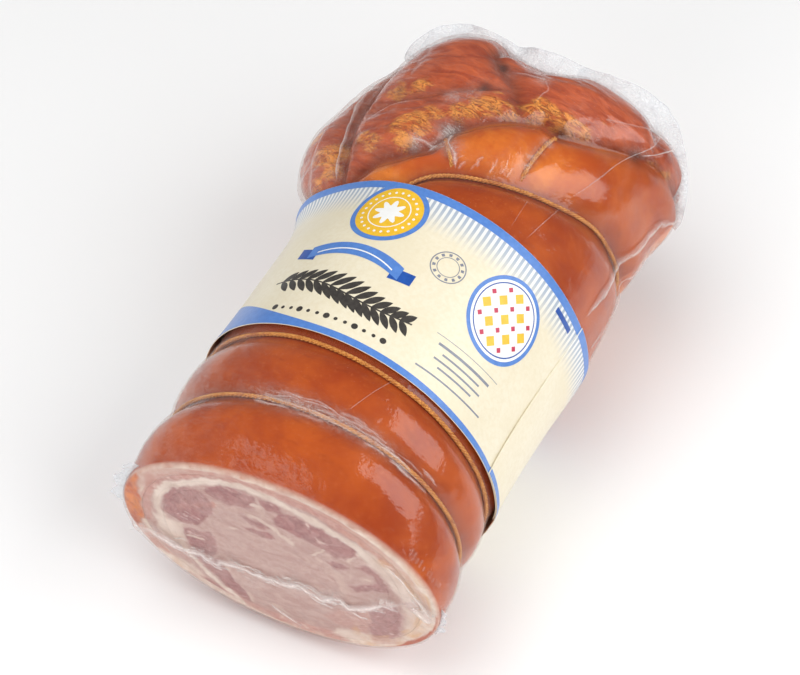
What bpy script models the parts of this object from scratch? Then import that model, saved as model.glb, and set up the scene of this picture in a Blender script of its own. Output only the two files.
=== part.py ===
"""A half porchetta in its shrink pack: a tied roll of pork with one cut end, a paper band and the film's seals.

The roll lies on its side. Y runs along it, from the cut end to the folded end, X is across it and Z is up.
The origin is on the surface that it lies on, under the middle of its bounding box.
All sizes are in millimetres and turn into metres when a mesh is made.
A point of the skin is named by its angle round the roll (0 at +X, 90 on top) and its distance along it.
"""

import math

import bpy
import numpy as np
from mathutils import Vector
from mathutils.bvhtree import BVHTree

MM = 0.001
SHIFT = (8.97, -19.92, 0.0)

# The roll at stations along Y, over the crests of its bulges, before the ties pull them in
STATION_Y = (-134.0, -118.0, -84.0, -50.0, 0.0, 40.0, 64.0, 90.0, 115.0, 140.0)
STATION_CENTRE_X = (3.0, 2.5, 1.0, -1.0, -2.5, -3.0, -8.5, -12.0, -13.0, -9.0)
STATION_HALF_WIDTH = (85.5, 85.5, 84.5, 82.5, 82.5, 83.0, 86.5, 88.0, 88.0, 89.0)
STATION_UNDERSIDE = (11.0, 5.5, 2.5, -2.5, -2.5, -2.5, 0.0, 7.0, 14.0, 20.0)
STATION_TOP = (128.0, 145.0, 156.0, 159.0, 161.0, 162.0, 163.0, 163.0, 162.0, 160.0)
STATION_SKEW = (0.10, 0.115, 0.06, 0.0, 0.0, 0.0, 0.04, 0.10, 0.10, 0.06)
STATION_PINCH_BELOW = (0.0, 0.02, 0.07, 0.10, 0.10, 0.10, 0.10, 0.10, 0.10, 0.10)

# The folded end, a shallow dome: the run is the distance over its curve
CUT_Y = -134.0
DOME_START = 140.0
DOME_DEPTH = 42.0
DOME_RUN = 85.0
POLE = DOME_START + DOME_RUN
REST_HEIGHT = 0.8

# Where the twine bites in: distance along the roll and depth of the groove
TIES = {"twine_ring_1": (-100.0, 7.0), "twine_ring_2": (-66.0, 4.5), "twine_ring_3": (60.0, 8.0)}
TIE_WIDTH = 7.5
TIE_SHAPE = 1.5

# The third tie runs aslant: it lies towards the cut end on the left, where the paper band covers it
SLANT = 27.0
SLANT_DIP = 14.0
SLANT_DIP_ANGLE = 120.0
SLANT_DIP_WIDTH = 13.0
SLANT_REACH = (-50.0, 48.0, 72.0, 170.0)

# Lobes of the folded end: angle, distance along, height and radius
LOBES = (
    (166.0, 62.0, 8.5, 38.0),
    (160.0, 104.0, 5.0, 38.0),
    (128.0, 140.0, 4.0, 34.0),
    (118.0, 162.0, 3.5, 26.0),
    (60.0, 144.0, 1.5, 30.0),
    (30.0, 148.0, 2.5, 30.0),
    (92.0, 168.0, -7.0, 20.0),
    (83.0, 90.0, 2.0, 16.0),
    (46.0, 102.0, 2.5, 24.0),
    (122.0, 86.0, 3.0, 18.0),
    (-60.0, 130.0, 4.0, 34.0),
    (-130.0, 120.0, 4.0, 36.0),
)

# Creases of the folded end: depth, half width, and angle and distance along at a few points
CREASES = (
    (7.0, 6.0, ((140, 38), (135, 46), (125, 57), (116, 61), (104, 70), (99, 86), (91, 96), (81, 107),
                (73, 113), (66, 111), (53, 119), (42, 130), (35, 136), (12, 146), (-10, 150), (-40, 150),
                (-80, 146), (-120, 138), (-150, 120), (-172, 84), (170, 52), (154, 36))),
    (5.0, 5.0, ((82, 113), (90, 127), (99, 138), (106, 148), (108, 170), (104, 196))),
    (4.0, 4.5, ((133, 96), (127, 103), (118, 107), (106, 116), (95, 125), (90, 127))),
    (6.0, 5.5, ((141, 42), (141, 74), (143, 109), (147, 136), (150, 165), (140, 196))),
    (3.0, 3.5, ((93, 60), (97, 70), (100, 82))),
    (3.0, 3.5, ((69, 72), (69, 84), (68, 100), (66, 111))),
    (5.0, 5.5, ((35, 136), (40, 165), (55, 196))),
    (5.0, 5.5, ((-70, 147), (-64, 172), (-40, 198))),
    (5.0, 5.5, ((-140, 128), (-142, 162), (-160, 196))),
)

# The layers that show at the cut, as shares of the way from the middle to the skin: all round, and how much
# less at the left, the right and below. Behind the cut face they draw in by the narrowing.
LAYERS = {
    "belly_lean": (0.935, 0.065, 0.045, 0.0),
    "seam_fat": (0.860, 0.075, 0.085, 0.015),
    "loin_core": (0.765, 0.030, 0.065, -0.035),
}
CORE_STANDS_OUT = 0.8
NARROWING = 0.93
LAYER_ROWS = (-134.0, -121.0, -85.0, -10.0, 62.0)
LAYER_DOME = 52.0
LAYER_DOME_STEPS = 2
LAYER_GAP = 0.35

# Rows of the skin along the roll, close together where it turns quickly
SKIN_ROWS = (-133.0, -130.0, -126.0, -120.0, -113.0, -107.0, -103.0, -100.0, -97.0, -93.0, -87.0, -80.0,
             -74.0, -69.0, -66.0, -63.0, -58.0, -44.0, -22.0, 2.0, 24.0, 40.0, 50.0, 54.0, 57.0, 60.0, 63.0,
             66.0, 70.0, 76.0, 82.0, 88.0, 94.0, 100.0, 106.0, 112.0, 118.0, 124.0, 130.0, 136.0, 142.0,
             149.0, 157.0, 166.0, 175.0, 185.0, 195.0, 205.0, 215.0)
AROUND = 64
LAYER_AROUND = 32
CUT_EDGE = 1.2

# Twine
TWINE_RADIUS = 1.1
TWINE_LIFT = 0.45
TWINE_SIDES = 5
TWINE_LOW = 1.7
LINKS = {
    "twine_link_1": ((93.4, 63.5), (95.5, 68.0), (98.0, 74.0), (100.0, 80.0)),
    "twine_link_2": ((69.0, 74.5), (69.0, 84.0), (68.0, 98.0), (66.0, 109.0)),
}
LINK_POINTS = 9

# Paper band: its edges along the roll, where its ends overlap on the right, and its thickness
BAND_ROWS = (-63.0, -51.0, -32.0, 2.0, 24.0, 40.0)
BAND_SEAM = -5.625
BAND_OVERLAP = 9.0
BAND_THICKNESS = 0.35
BAND_LIFT = 0.8
BAND_STEP_UP = 12.0

# Seals of the film, thin wavy leaves that stand out from the meat
LEAF_THICKNESS = 0.6
LEAF_GAP = 0.45
FAR_SEAL = ((150.0, 150.0), (137.0, 157.0), (122.0, 167.0), (109.0, 172.0), (95.0, 170.0), (81.0, 176.0),
            (62.0, 173.0), (44.0, 170.0), (26.0, 164.0), (10.0, 150.0), (-4.0, 138.0))
FAR_SEAL_HEIGHT = 8.5
FAR_SEAL_SWELL = 4.0
FAR_SEAL_POINTS = 45
NEAR_SEAL = ((152.0, -131.0), (165.0, -131.5), (180.0, -131.5), (196.0, -131.0))
NEAR_SEAL_HEIGHT = 7.5
NEAR_SEAL_POINTS = 13
NEAR_FOLD = ((4.0, -131.0), (-3.0, -131.5), (-10.0, -131.5), (-18.0, -131.0))
NEAR_FOLD_HEIGHT = 3.5


def clear_scene():
    """Remove whatever the scene holds."""
    for item in list(bpy.data.objects):
        bpy.data.objects.remove(item, do_unlink=True)


def follow(stations, values, where):
    """A smooth curve (cubic, with slopes from the neighbours) through values at the stations."""
    stations = np.asarray(stations, float)
    values = np.asarray(values, float)
    slopes = np.gradient(values, stations)
    where = np.clip(where, stations[0], stations[-1])
    k = np.clip(np.searchsorted(stations, where) - 1, 0, len(stations) - 2)
    step = stations[k + 1] - stations[k]
    s = (where - stations[k]) / step
    start = values[k] * (2 * s**3 - 3 * s**2 + 1) + slopes[k] * step * (s**3 - 2 * s**2 + s)
    end = values[k + 1] * (3 * s**2 - 2 * s**3) + slopes[k + 1] * step * (s**3 - s**2)
    return start + end


def section(along):
    """Centre X, centre Z, half width, half height, skew and pinch of the roll at a distance along it."""
    along = np.minimum(along, DOME_START)
    tables = (STATION_CENTRE_X, STATION_UNDERSIDE, STATION_TOP, STATION_HALF_WIDTH, STATION_SKEW,
              STATION_PINCH_BELOW)
    centre, low, high, half_width, skew, pinch = (follow(STATION_Y, table, along) for table in tables)
    return centre, (low + high) / 2, half_width, (high - low) / 2, skew, pinch


def plain_point(angle, along):
    """Point of the smooth roll: an ellipse at each station, narrower below, and a dome at the folded end."""
    angle, along = np.broadcast_arrays(np.asarray(angle, float), np.asarray(along, float))
    turn = np.clip((along - DOME_START) / DOME_RUN, 0.0, 1.0) * math.pi / 2
    centre_x, centre_z, half_width, half_height, skew, pinch = section(along)
    across = half_width * np.cos(turn) * np.cos(angle) * (1 - pinch * np.maximum(-np.sin(angle), 0))
    up = half_height * np.cos(turn) * np.sin(angle)
    y = np.minimum(along, DOME_START) + DOME_DEPTH * np.sin(turn) + skew * across
    return np.stack([centre_x + across, y, centre_z + up], axis=-1)


def outward(angle, along):
    """Unit normal of the smooth roll, from small steps each way."""
    step = 0.5
    round_it = plain_point(angle + step / 80, along) - plain_point(angle - step / 80, along)
    along_it = plain_point(angle, along + step) - plain_point(angle, along - step)
    normal = np.cross(along_it, round_it)
    return normal / (np.linalg.norm(normal, axis=-1, keepdims=True) + 1e-12)


def slanted(angle, row):
    """Distance along the roll of a row: rows near the third tie follow its slant."""
    degrees_away = (np.degrees(angle) - SLANT_DIP_ANGLE + 180) % 360 - 180
    tilt = SLANT * np.cos(angle) - SLANT_DIP * np.exp(-((degrees_away / SLANT_DIP_WIDTH) ** 2))
    start, full, last, end = SLANT_REACH
    rise = np.clip((row - start) / (full - start), 0, 1)
    fall = np.clip((end - row) / (end - last), 0, 1)
    share = np.minimum(rise, fall)
    return row + tilt * share * share * (3 - 2 * share)


def distance_to_path(points, path):
    """Distance from each point to the nearest of the straight pieces between the path's points."""
    nearest = np.full(points.shape[:-1], np.inf)
    for start, end in zip(path[:-1], path[1:]):
        piece = end - start
        share = np.clip(((points - start) @ piece) / (piece @ piece), 0, 1)
        gap = np.linalg.norm(points - (start + share[..., None] * piece), axis=-1)
        nearest = np.minimum(nearest, gap)
    return nearest


def on_roll(pairs):
    """Points of the smooth roll at pairs of an angle in degrees and a distance along."""
    angles, along = np.array(pairs, float).T
    return plain_point(np.radians(angles), along)


def lobes(points):
    """Height of the lobes of the folded end at points of the smooth roll."""
    height = np.zeros(points.shape[:-1])
    for angle, along, rise, radius in LOBES:
        away = np.linalg.norm(points - on_roll([(angle, along)])[0], axis=-1)
        height += rise * np.exp(-((away / radius) ** 3))
    return height


def creases(points):
    """Height of the creases of the folded end, below the roll, at points of the smooth roll."""
    height = np.zeros(points.shape[:-1])
    for depth, width, pairs in CREASES:
        away = distance_to_path(points, on_roll(pairs))
        height = np.minimum(height, -depth * np.exp(-((away / width) ** 1.5)))
    return height


def grooves(row):
    """Depth of the ties' grooves at a row, as a height below the roll's crests."""
    height = np.zeros(np.shape(row))
    for centre, depth in TIES.values():
        height = height - depth * np.exp(-((np.abs(row - centre) / TIE_WIDTH) ** TIE_SHAPE))
    return height


def skin_point(angle, row):
    """Point of the skin: the smooth roll with its grooves, lobes and creases, flattened where it rests."""
    angle, row = np.broadcast_arrays(np.asarray(angle, float), np.asarray(row, float))
    along = slanted(angle, row)
    smooth = plain_point(angle, along)
    height = lobes(smooth) + np.minimum(creases(smooth), grooves(row))
    point = smooth + outward(angle, along) * height[..., None]
    point[..., 2] = np.maximum(point[..., 2], REST_HEIGHT)
    return point


def angles_round(count):
    """Equal steps once round the roll."""
    return np.linspace(0, 2 * math.pi, count, endpoint=False)


def layer_share(name, angle):
    """Share of the way from the middle to the skin at which a layer starts."""
    share, less_left, less_right, less_below = LAYERS[name]
    left = np.maximum(-np.cos(angle), 0) ** 2
    right = np.maximum(np.cos(angle), 0) ** 2
    below = np.maximum(-np.sin(angle), 0) ** 2
    return share - less_left * left - less_right * right - less_below * below


def layer_rings(name, inset):
    """Rings of a layer's outer side, from the cut face to the last ring before its far pole, and the pole."""
    angle = angles_round(LAYER_AROUND)
    share = layer_share(name, angle)
    rings = []
    for row in LAYER_ROWS:
        centre_x, centre_z, *_ = section(np.float64(row))
        centre = np.array([centre_x, row, centre_z])
        drawn_in = 1.0 if row <= CUT_Y else NARROWING
        reach = (plain_point(angle, row) - centre) * (share * drawn_in)[:, None]
        reach -= inset * reach / np.linalg.norm(reach, axis=-1, keepdims=True)
        rings.append(centre + reach)
    middle = LAYERS[name][0]
    depth = LAYER_DOME * middle - inset
    for step in range(1, LAYER_DOME_STEPS + 1):
        turn = step / (LAYER_DOME_STEPS + 1) * math.pi / 2
        ring = centre + reach * math.cos(turn)
        ring[:, 1] += depth * math.sin(turn)
        rings.append(ring)
    pole = centre + np.array([0.0, depth, 0.0])
    return rings, pole


def join_rings(first, second, ring_a, ring_b, falling=False):
    """Triangles between two rings of points, given by first index and length; ring_a may be twice as long.

    Rings of one length are split along rising or falling diagonals, so that nested layers are split alike.
    """
    faces = []
    for k in range(ring_b):
        after = (k + 1) % ring_b
        if ring_a == 2 * ring_b:
            middle = first + 2 * k + 1
            last = first + (2 * k + 2) % ring_a
            faces.append((first + 2 * k, middle, second + k))
            faces.append((middle, last, second + after))
            faces.append((middle, second + after, second + k))
        elif falling:
            faces.append((first + k, first + after, second + k))
            faces.append((first + after, second + after, second + k))
        else:
            faces.append((first + k, first + after, second + after))
            faces.append((first + k, second + after, second + k))
    return faces


def loft(start_pole, rings, end_pole, falling=0):
    """Points and triangles of a closed body through rings, the first few split along falling diagonals."""
    points = [start_pole]
    faces = []
    firsts = []
    for ring in rings:
        firsts.append(len(points))
        points.extend(ring)
    points.append(end_pole)
    for k in range(len(rings[0])):
        faces.append((0, firsts[0] + (k + 1) % len(rings[0]), firsts[0] + k))
    for k in range(len(rings) - 1):
        faces.extend(join_rings(firsts[k], firsts[k + 1], len(rings[k]), len(rings[k + 1]), k < falling))
    for k in range(len(rings[-1])):
        faces.append((len(points) - 1, firsts[-1] + k, firsts[-1] + (k + 1) % len(rings[-1])))
    return np.array(points), faces


def make_object(name, points, faces, colour, roughness, metallic=0.0):
    """One named object with its own material, from points in millimetres and faces that point out."""
    mesh = bpy.data.meshes.new(name)
    placed = (np.asarray(points, float) + np.array(SHIFT)) * MM
    mesh.from_pydata(placed.tolist(), [], faces)
    mesh.validate()
    item = bpy.data.objects.new(name, mesh)
    bpy.context.collection.objects.link(item)
    material = bpy.data.materials.new(name)
    material.use_nodes = True
    shader = material.node_tree.nodes["Principled BSDF"]
    shader.inputs["Base Color"].default_value = (*colour, 1.0)
    shader.inputs["Roughness"].default_value = roughness
    shader.inputs["Metallic"].default_value = metallic
    mesh.materials.append(material)
    mesh.shade_smooth()
    mesh.set_sharp_from_angle(angle=math.radians(40))
    return item


def outward_facing(points, faces):
    """The same faces, turned over if their signed volume is negative."""
    corner = np.asarray(points)[np.array(faces)]
    volume = np.einsum("ij,ij->i", corner[:, 0], np.cross(corner[:, 1], corner[:, 2])).sum()
    if volume < 0:
        return [face[::-1] for face in faces]
    return faces


def make_rind():
    """The rind with its outer fat: the skin, the cut edge, and the cup that the inner layers fill."""
    angle = angles_round(AROUND)
    skin = [skin_point(angle, row) for row in SKIN_ROWS]
    cup, cup_pole = layer_rings("belly_lean", 0.0)
    edge = plain_point(angle, CUT_Y)
    centre_x, centre_z, *_ = section(np.float64(CUT_Y))
    reach = edge - np.array([centre_x, CUT_Y, centre_z])
    edge -= CUT_EDGE * reach / np.linalg.norm(reach, axis=-1, keepdims=True)
    pole = skin_point(np.array([0.0]), np.array([POLE]))[0]
    points, faces = loft(pole, skin[::-1] + [edge] + cup, cup_pole)
    return make_object("rolled_rind", points, outward_facing(points, faces), (0.50, 0.16, 0.045), 0.3)


def make_cup(name, inner_name, colour):
    """A layer between two others: its outer side, its rim on the cut face, and the cup inside it."""
    outer, outer_pole = layer_rings(name, LAYER_GAP)
    inner, inner_pole = layer_rings(inner_name, 0.0)
    points, faces = loft(outer_pole, outer[::-1] + inner, inner_pole, len(outer) - 1)
    return make_object(name, points, outward_facing(points, faces), colour, 0.45)


def make_core(name, colour):
    """The loin in the middle, out to its cut face, which stands out a little."""
    outer, outer_pole = layer_rings(name, LAYER_GAP)
    face_middle = outer[0].mean(axis=0)
    face_middle[1] -= CORE_STANDS_OUT
    inner_face = [face_middle + (outer[0] - face_middle) * share for share in (0.93, 0.5)]
    inner_face[0][:, 1] -= 0.7 * CORE_STANDS_OUT
    points, faces = loft(outer_pole, outer[::-1] + inner_face, face_middle, len(outer) - 1)
    return make_object(name, points, outward_facing(points, faces), colour, 0.45)


def tube(path, normals, radius, sides, closed):
    """Points and triangles of a round strand along a path, with flat ends unless it is closed."""
    ahead = np.roll(path, -1, axis=0) - np.roll(path, 1, axis=0)
    if not closed:
        ahead[0] = path[1] - path[0]
        ahead[-1] = path[-1] - path[-2]
    ahead /= np.linalg.norm(ahead, axis=-1, keepdims=True)
    side = np.cross(ahead, normals)
    side /= np.linalg.norm(side, axis=-1, keepdims=True)
    up = np.cross(side, ahead)
    turn = angles_round(sides)
    ring = np.cos(turn)[:, None] * side[:, None, :] + np.sin(turn)[:, None] * up[:, None, :]
    points = (path[:, None, :] + radius * ring).reshape(-1, 3)
    count = len(path)
    faces = []
    for k in range(count if closed else count - 1):
        faces.extend(join_rings(k * sides, (k + 1) % count * sides, sides, sides))
    if not closed:
        faces.extend((0, k + 1, k) for k in range(1, sides - 1))
        last = (count - 1) * sides
        faces.extend((last, last + k, last + k + 1) for k in range(1, sides - 1))
    return points, faces


def make_tie(name):
    """A ring of twine at the bottom of its groove."""
    row, _ = TIES[name]
    angle = angles_round(AROUND)
    normal = outward(angle, slanted(angle, np.full(AROUND, row)))
    path = skin_point(angle, np.full(AROUND, row)) + normal * (TWINE_RADIUS + TWINE_LIFT)
    path[:, 2] = np.maximum(path[:, 2], TWINE_LOW)
    points, faces = tube(path, normal, TWINE_RADIUS, TWINE_SIDES, True)
    return make_object(name, points, outward_facing(points, faces), (0.42, 0.20, 0.07), 0.8)


def skin_tree(rind):
    """Search tree over the rind's faces."""
    mesh = rind.data
    corners = [vertex.co.copy() for vertex in mesh.vertices]
    return BVHTree.FromPolygons(corners, [tuple(face.vertices) for face in mesh.polygons])


def make_link(name, tree):
    """A short strand from a tie to the crease of the folded end, laid on the rind's faces."""
    pairs = np.array(LINKS[name])
    share = np.linspace(0, len(pairs) - 1, LINK_POINTS)
    degrees = follow(range(len(pairs)), pairs[:, 0], share)
    along = follow(range(len(pairs)), pairs[:, 1], share)
    angle = np.radians(degrees)
    normal = outward(angle, along)
    start = plain_point(angle, along) + normal * 20 + np.array(SHIFT)
    path = []
    for point, direction in zip(start, normal):
        hit, *_ = tree.ray_cast(Vector((point * MM).tolist()), Vector((-direction).tolist()))
        path.append(np.array(hit) / MM - np.array(SHIFT))
    path = np.array(path) + normal * (TWINE_RADIUS + 2 * TWINE_LIFT)
    points, faces = tube(path, normal, TWINE_RADIUS, TWINE_SIDES + 1, False)
    return make_object(name, points, outward_facing(points, faces), (0.42, 0.20, 0.07), 0.8)


def band_side(angle, along, lift, low):
    """One side of the paper band: the roll's crests and lobes without its grooves, lifted a little."""
    smooth = plain_point(angle, along)
    height = np.maximum(lobes(smooth), 0) + lift
    point = smooth + outward(angle, along) * height[..., None]
    point[..., 2] = np.maximum(point[..., 2], low)
    return point


def make_band():
    """The paper band: a thin strip once round the roll, with its end glued over its start."""
    first = math.radians(BAND_SEAM)
    step = 2 * math.pi / AROUND
    turns = np.arange(0, 2 * math.pi + math.radians(BAND_OVERLAP) + 1e-6, step / 2)
    turns = turns[(np.arange(len(turns)) % 2 == 0) | (turns > 2 * math.pi - 3 * step) | (turns < 2 * step)]
    raised = np.clip((turns - 2 * math.pi) / math.radians(BAND_STEP_UP) + 1, 0, 1)
    raised = raised * raised * (3 - 2 * raised) * (BAND_THICKNESS + LAYER_GAP)
    angle, along = np.meshgrid(first + turns, np.array(BAND_ROWS), indexing="ij")
    lift = BAND_LIFT + raised[:, None] + 0 * along
    inner = band_side(angle, along, lift, BAND_THICKNESS)
    outer = band_side(angle, along, lift + BAND_THICKNESS, 0.0)
    points, faces = sheet(outer, inner)
    return make_object("paper_band", points, outward_facing(points, faces), (0.86, 0.82, 0.68), 0.5)


def sheet(front, back):
    """Points and triangles of a thin closed sheet between two grids of points, both split alike."""
    rows, columns = front.shape[:2]
    points = np.concatenate([front.reshape(-1, 3), back.reshape(-1, 3)])
    count = rows * columns
    faces = []
    for i in range(rows - 1):
        for j in range(columns - 1):
            a = i * columns + j
            b, c, d = a + 1, a + columns + 1, a + columns
            faces.extend([(a, b, c), (a, c, d)])
            faces.extend([(a + count, c + count, b + count), (a + count, d + count, c + count)])
    border = [j for j in range(columns)]
    border += [i * columns + columns - 1 for i in range(1, rows)]
    border += [(rows - 1) * columns + j for j in range(columns - 2, -1, -1)]
    border += [i * columns for i in range(rows - 2, 0, -1)]
    for k, a in enumerate(border):
        b = border[(k + 1) % len(border)]
        faces.extend([(a, a + count, b + count), (a, b + count, b)])
    return points, faces


def make_leaf(name, pairs, height, swell, count, waves=1.0):
    """A thin wavy leaf of film that stands on the skin along a path, higher and lower along its length."""
    pairs = np.array(pairs)
    share = np.linspace(0, len(pairs) - 1, count)
    angle = np.radians(follow(range(len(pairs)), pairs[:, 0], share))
    along = follow(range(len(pairs)), pairs[:, 1], share)
    smooth = plain_point(angle, along)
    normal = outward(angle, along)
    foot = smooth + normal * (np.maximum(lobes(smooth), 0) + LEAF_GAP)[:, None]
    ahead = np.gradient(foot, axis=0)
    ahead /= np.linalg.norm(ahead, axis=-1, keepdims=True)
    across = np.cross(ahead, normal)
    turn = share / (len(pairs) - 1) * 2 * math.pi
    rise = height * (0.75 + 0.25 * np.sin(3.1 * turn)) + swell * np.sin(1.7 * turn + 0.6)
    rise = np.maximum(rise * np.sin(turn / 2) ** 0.35, 1.0)
    lean = waves * (1.6 * np.sin(5.3 * turn + 0.4) + 0.8 * np.sin(11 * turn))
    levels = (0.0, 0.5, 1.0)
    grid = np.stack([foot + normal * (rise * level)[:, None] + across * (lean * level**1.5)[:, None]
                     for level in levels], axis=1)
    half = across[:, None, :] * LEAF_THICKNESS / 2
    points, faces = sheet(grid + half, grid - half)
    return make_object(name, points, outward_facing(points, faces), (0.85, 0.87, 0.88), 0.15)


def main():
    """Build every piece of the pack."""
    clear_scene()
    rind = make_rind()
    make_cup("belly_lean", "seam_fat", (0.62, 0.34, 0.28))
    make_cup("seam_fat", "loin_core", (0.80, 0.66, 0.55))
    make_core("loin_core", (0.55, 0.33, 0.29))
    for name in TIES:
        make_tie(name)
    tree = skin_tree(rind)
    for name in LINKS:
        make_link(name, tree)
    make_band()
    make_leaf("film_seal_far", FAR_SEAL, FAR_SEAL_HEIGHT, FAR_SEAL_SWELL, FAR_SEAL_POINTS)
    make_leaf("film_seal_near", NEAR_SEAL, NEAR_SEAL_HEIGHT, 1.0, NEAR_SEAL_POINTS, 0.3)
    make_leaf("film_fold_near", NEAR_FOLD, NEAR_FOLD_HEIGHT, 0.5, NEAR_SEAL_POINTS, 0.2)


main()
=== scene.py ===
"""The looks of a half porchetta in its shrink pack: rind, cut face, twine, printed paper band and clear film.

Shapes are worked out in millimetres in the roll's own place, and SHIFT and MM bring them into the frame.
A point of the roll is named by its angle round it (0 at +X, 90 on top) and its distance along it.
"""

import itertools
import math

import bpy
import numpy as np
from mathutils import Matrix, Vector


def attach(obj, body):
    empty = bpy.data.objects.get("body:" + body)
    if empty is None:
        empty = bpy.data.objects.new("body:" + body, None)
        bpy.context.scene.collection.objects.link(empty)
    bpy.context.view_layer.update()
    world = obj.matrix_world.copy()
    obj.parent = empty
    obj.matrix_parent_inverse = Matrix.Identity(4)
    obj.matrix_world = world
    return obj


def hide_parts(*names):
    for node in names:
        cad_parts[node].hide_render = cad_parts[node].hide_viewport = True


MM = 0.001
SHIFT = np.array([8.97, -19.92, 0.0])

# The roll at stations along Y, over the crests of its bulges, before the ties pull them in
STATION_Y = (-134.0, -118.0, -84.0, -50.0, 0.0, 40.0, 64.0, 90.0, 115.0, 140.0)
STATION_CENTRE_X = (3.0, 2.5, 1.0, -1.0, -2.5, -3.0, -8.5, -12.0, -13.0, -9.0)
STATION_HALF_WIDTH = (85.5, 85.5, 84.5, 82.5, 82.5, 83.0, 86.5, 88.0, 88.0, 89.0)
STATION_UNDERSIDE = (11.0, 5.5, 2.5, -2.5, -2.5, -2.5, 0.0, 7.0, 14.0, 20.0)
STATION_TOP = (128.0, 145.0, 156.0, 159.0, 161.0, 162.0, 163.0, 163.0, 162.0, 160.0)
STATION_SKEW = (0.10, 0.115, 0.06, 0.0, 0.0, 0.0, 0.04, 0.10, 0.10, 0.06)
STATION_PINCH_BELOW = (0.0, 0.02, 0.07, 0.10, 0.10, 0.10, 0.10, 0.10, 0.10, 0.10)
CUT_Y = -134.0
DOME_START = 140.0
DOME_DEPTH = 42.0
DOME_RUN = 85.0
POLE = DOME_START + DOME_RUN
REST_HEIGHT = 0.8

# Where the twine bites in, and the slant of the third tie
TIES = {"twine_ring_1": (-100.0, 7.0), "twine_ring_2": (-66.0, 4.5), "twine_ring_3": (60.0, 8.0)}
TIE_WIDTH = 7.5
TIE_SHAPE = 1.5
CREASE_SHAPE = 1.5
SLANT = 27.0
SLANT_DIP = 14.0
SLANT_DIP_ANGLE = 120.0
SLANT_DIP_WIDTH = 13.0
SLANT_REACH = (-50.0, 48.0, 72.0, 170.0)
LINKS = {
    "twine_link_1": ((93.4, 63.5), (95.5, 68.0), (98.0, 74.0), (100.0, 80.0)),
    "twine_link_2": ((69.0, 74.5), (69.0, 84.0), (68.0, 98.0), (66.0, 109.0)),
}

# Lobes of the folded end: angle, distance along, height and radius
LOBES = (
    (166.0, 62.0, 8.5, 38.0),
    (160.0, 104.0, 5.0, 38.0),
    (128.0, 140.0, 4.0, 34.0),
    (118.0, 162.0, 3.5, 26.0),
    (60.0, 144.0, 1.5, 30.0),
    (30.0, 148.0, 2.5, 30.0),
    (92.0, 168.0, -7.0, 20.0),
    (83.0, 90.0, 2.0, 16.0),
    (40.0, 102.0, 3.5, 22.0),
    (122.0, 86.0, 3.0, 18.0),
    (-60.0, 130.0, 4.0, 34.0),
    (-130.0, 120.0, 4.0, 36.0),
)

# Creases of the folded end: depth, half width, and angle and distance along at a few points
FOLD_EDGE = ((140, 38), (135, 46), (125, 57), (116, 61), (104, 70), (99, 86), (91, 96), (81, 107), (73, 113),
             (66, 111), (53, 119), (42, 130), (35, 136), (12, 146), (-10, 150), (-40, 150), (-80, 146),
             (-120, 138), (-150, 120), (-172, 84), (170, 52), (154, 36))
CREASES = (
    (7.0, 6.0, FOLD_EDGE),
    (5.0, 5.0, ((82, 113), (90, 127), (99, 138), (106, 148), (108, 170), (104, 196))),
    (4.0, 4.5, ((133, 96), (127, 103), (118, 107), (106, 116), (95, 125), (90, 127))),
    (6.0, 5.5, ((141, 42), (141, 74), (143, 109), (147, 136), (150, 165), (140, 196))),
    (3.0, 3.5, ((93, 60), (97, 70), (100, 82))),
    (3.0, 3.5, ((69, 72), (69, 84), (68, 100), (66, 111))),
    (5.0, 5.5, ((35, 136), (40, 165), (55, 196))),
    (5.0, 5.5, ((-70, 147), (-64, 172), (-40, 198))),
    (5.0, 5.5, ((-140, 128), (-142, 162), (-160, 196))),
)

# Golden, flaky fat on the folded end: angle, distance along and radius
FLAKES = ((101, 100, 7), (95, 102, 8), (90, 107, 8), (84, 110, 7), (79, 114, 6), (79, 122, 6), (75, 119, 7),
          (69, 118, 7), (64, 116, 6), (58, 119, 7), (116, 82, 8), (110, 80, 7), (108, 93, 7), (113, 72, 6),
          (111, 89, 7), (132, 73, 7), (128, 68, 7), (149, 64, 7), (145, 55, 7), (152, 50, 7), (160, 45, 8),
          (143, 69, 6), (156, 82, 6), (128, 109, 6), (121, 113, 6), (33, 136, 7), (25, 141, 6),
          (-20, 152, 12), (-75, 150, 12), (-135, 140, 12), (-160, 100, 12), (178, 70, 10))

# Hollows of the folded end, darkened with painted shade, and places where the film over it is crumpled white
HOLLOWS = ((101, 87, 4), (99, 92, 4), (99, 122, 3.5), (66, 114, 4), (101, 142, 3), (127, 109, 4),
           (121, 76, 3), (110, 69, 3), (40, 131, 4))
MILKY = ((104, 107, 5), (100, 111, 5), (99, 84, 6), (95, 71, 5), (100, 72, 5), (109, 72, 4), (85, 138, 4),
         (70, 80, 3), (70, 86, 3), (69, 92, 3), (68, 99, 3))

# The layers at the cut, as shares of the way from the middle to the skin: all round, and how much less at
# the left, the right and below. Behind the cut face they draw in.
LAYERS = {
    "belly_lean": (0.935, 0.065, 0.045, 0.0),
    "seam_fat": (0.860, 0.075, 0.085, 0.015),
    "loin_core": (0.765, 0.030, 0.065, -0.035),
}
NARROWING = 0.93
LAYER_ROWS = (-134.0, -121.0, -85.0, -10.0, 62.0)
LAYER_DOME = 52.0

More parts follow.
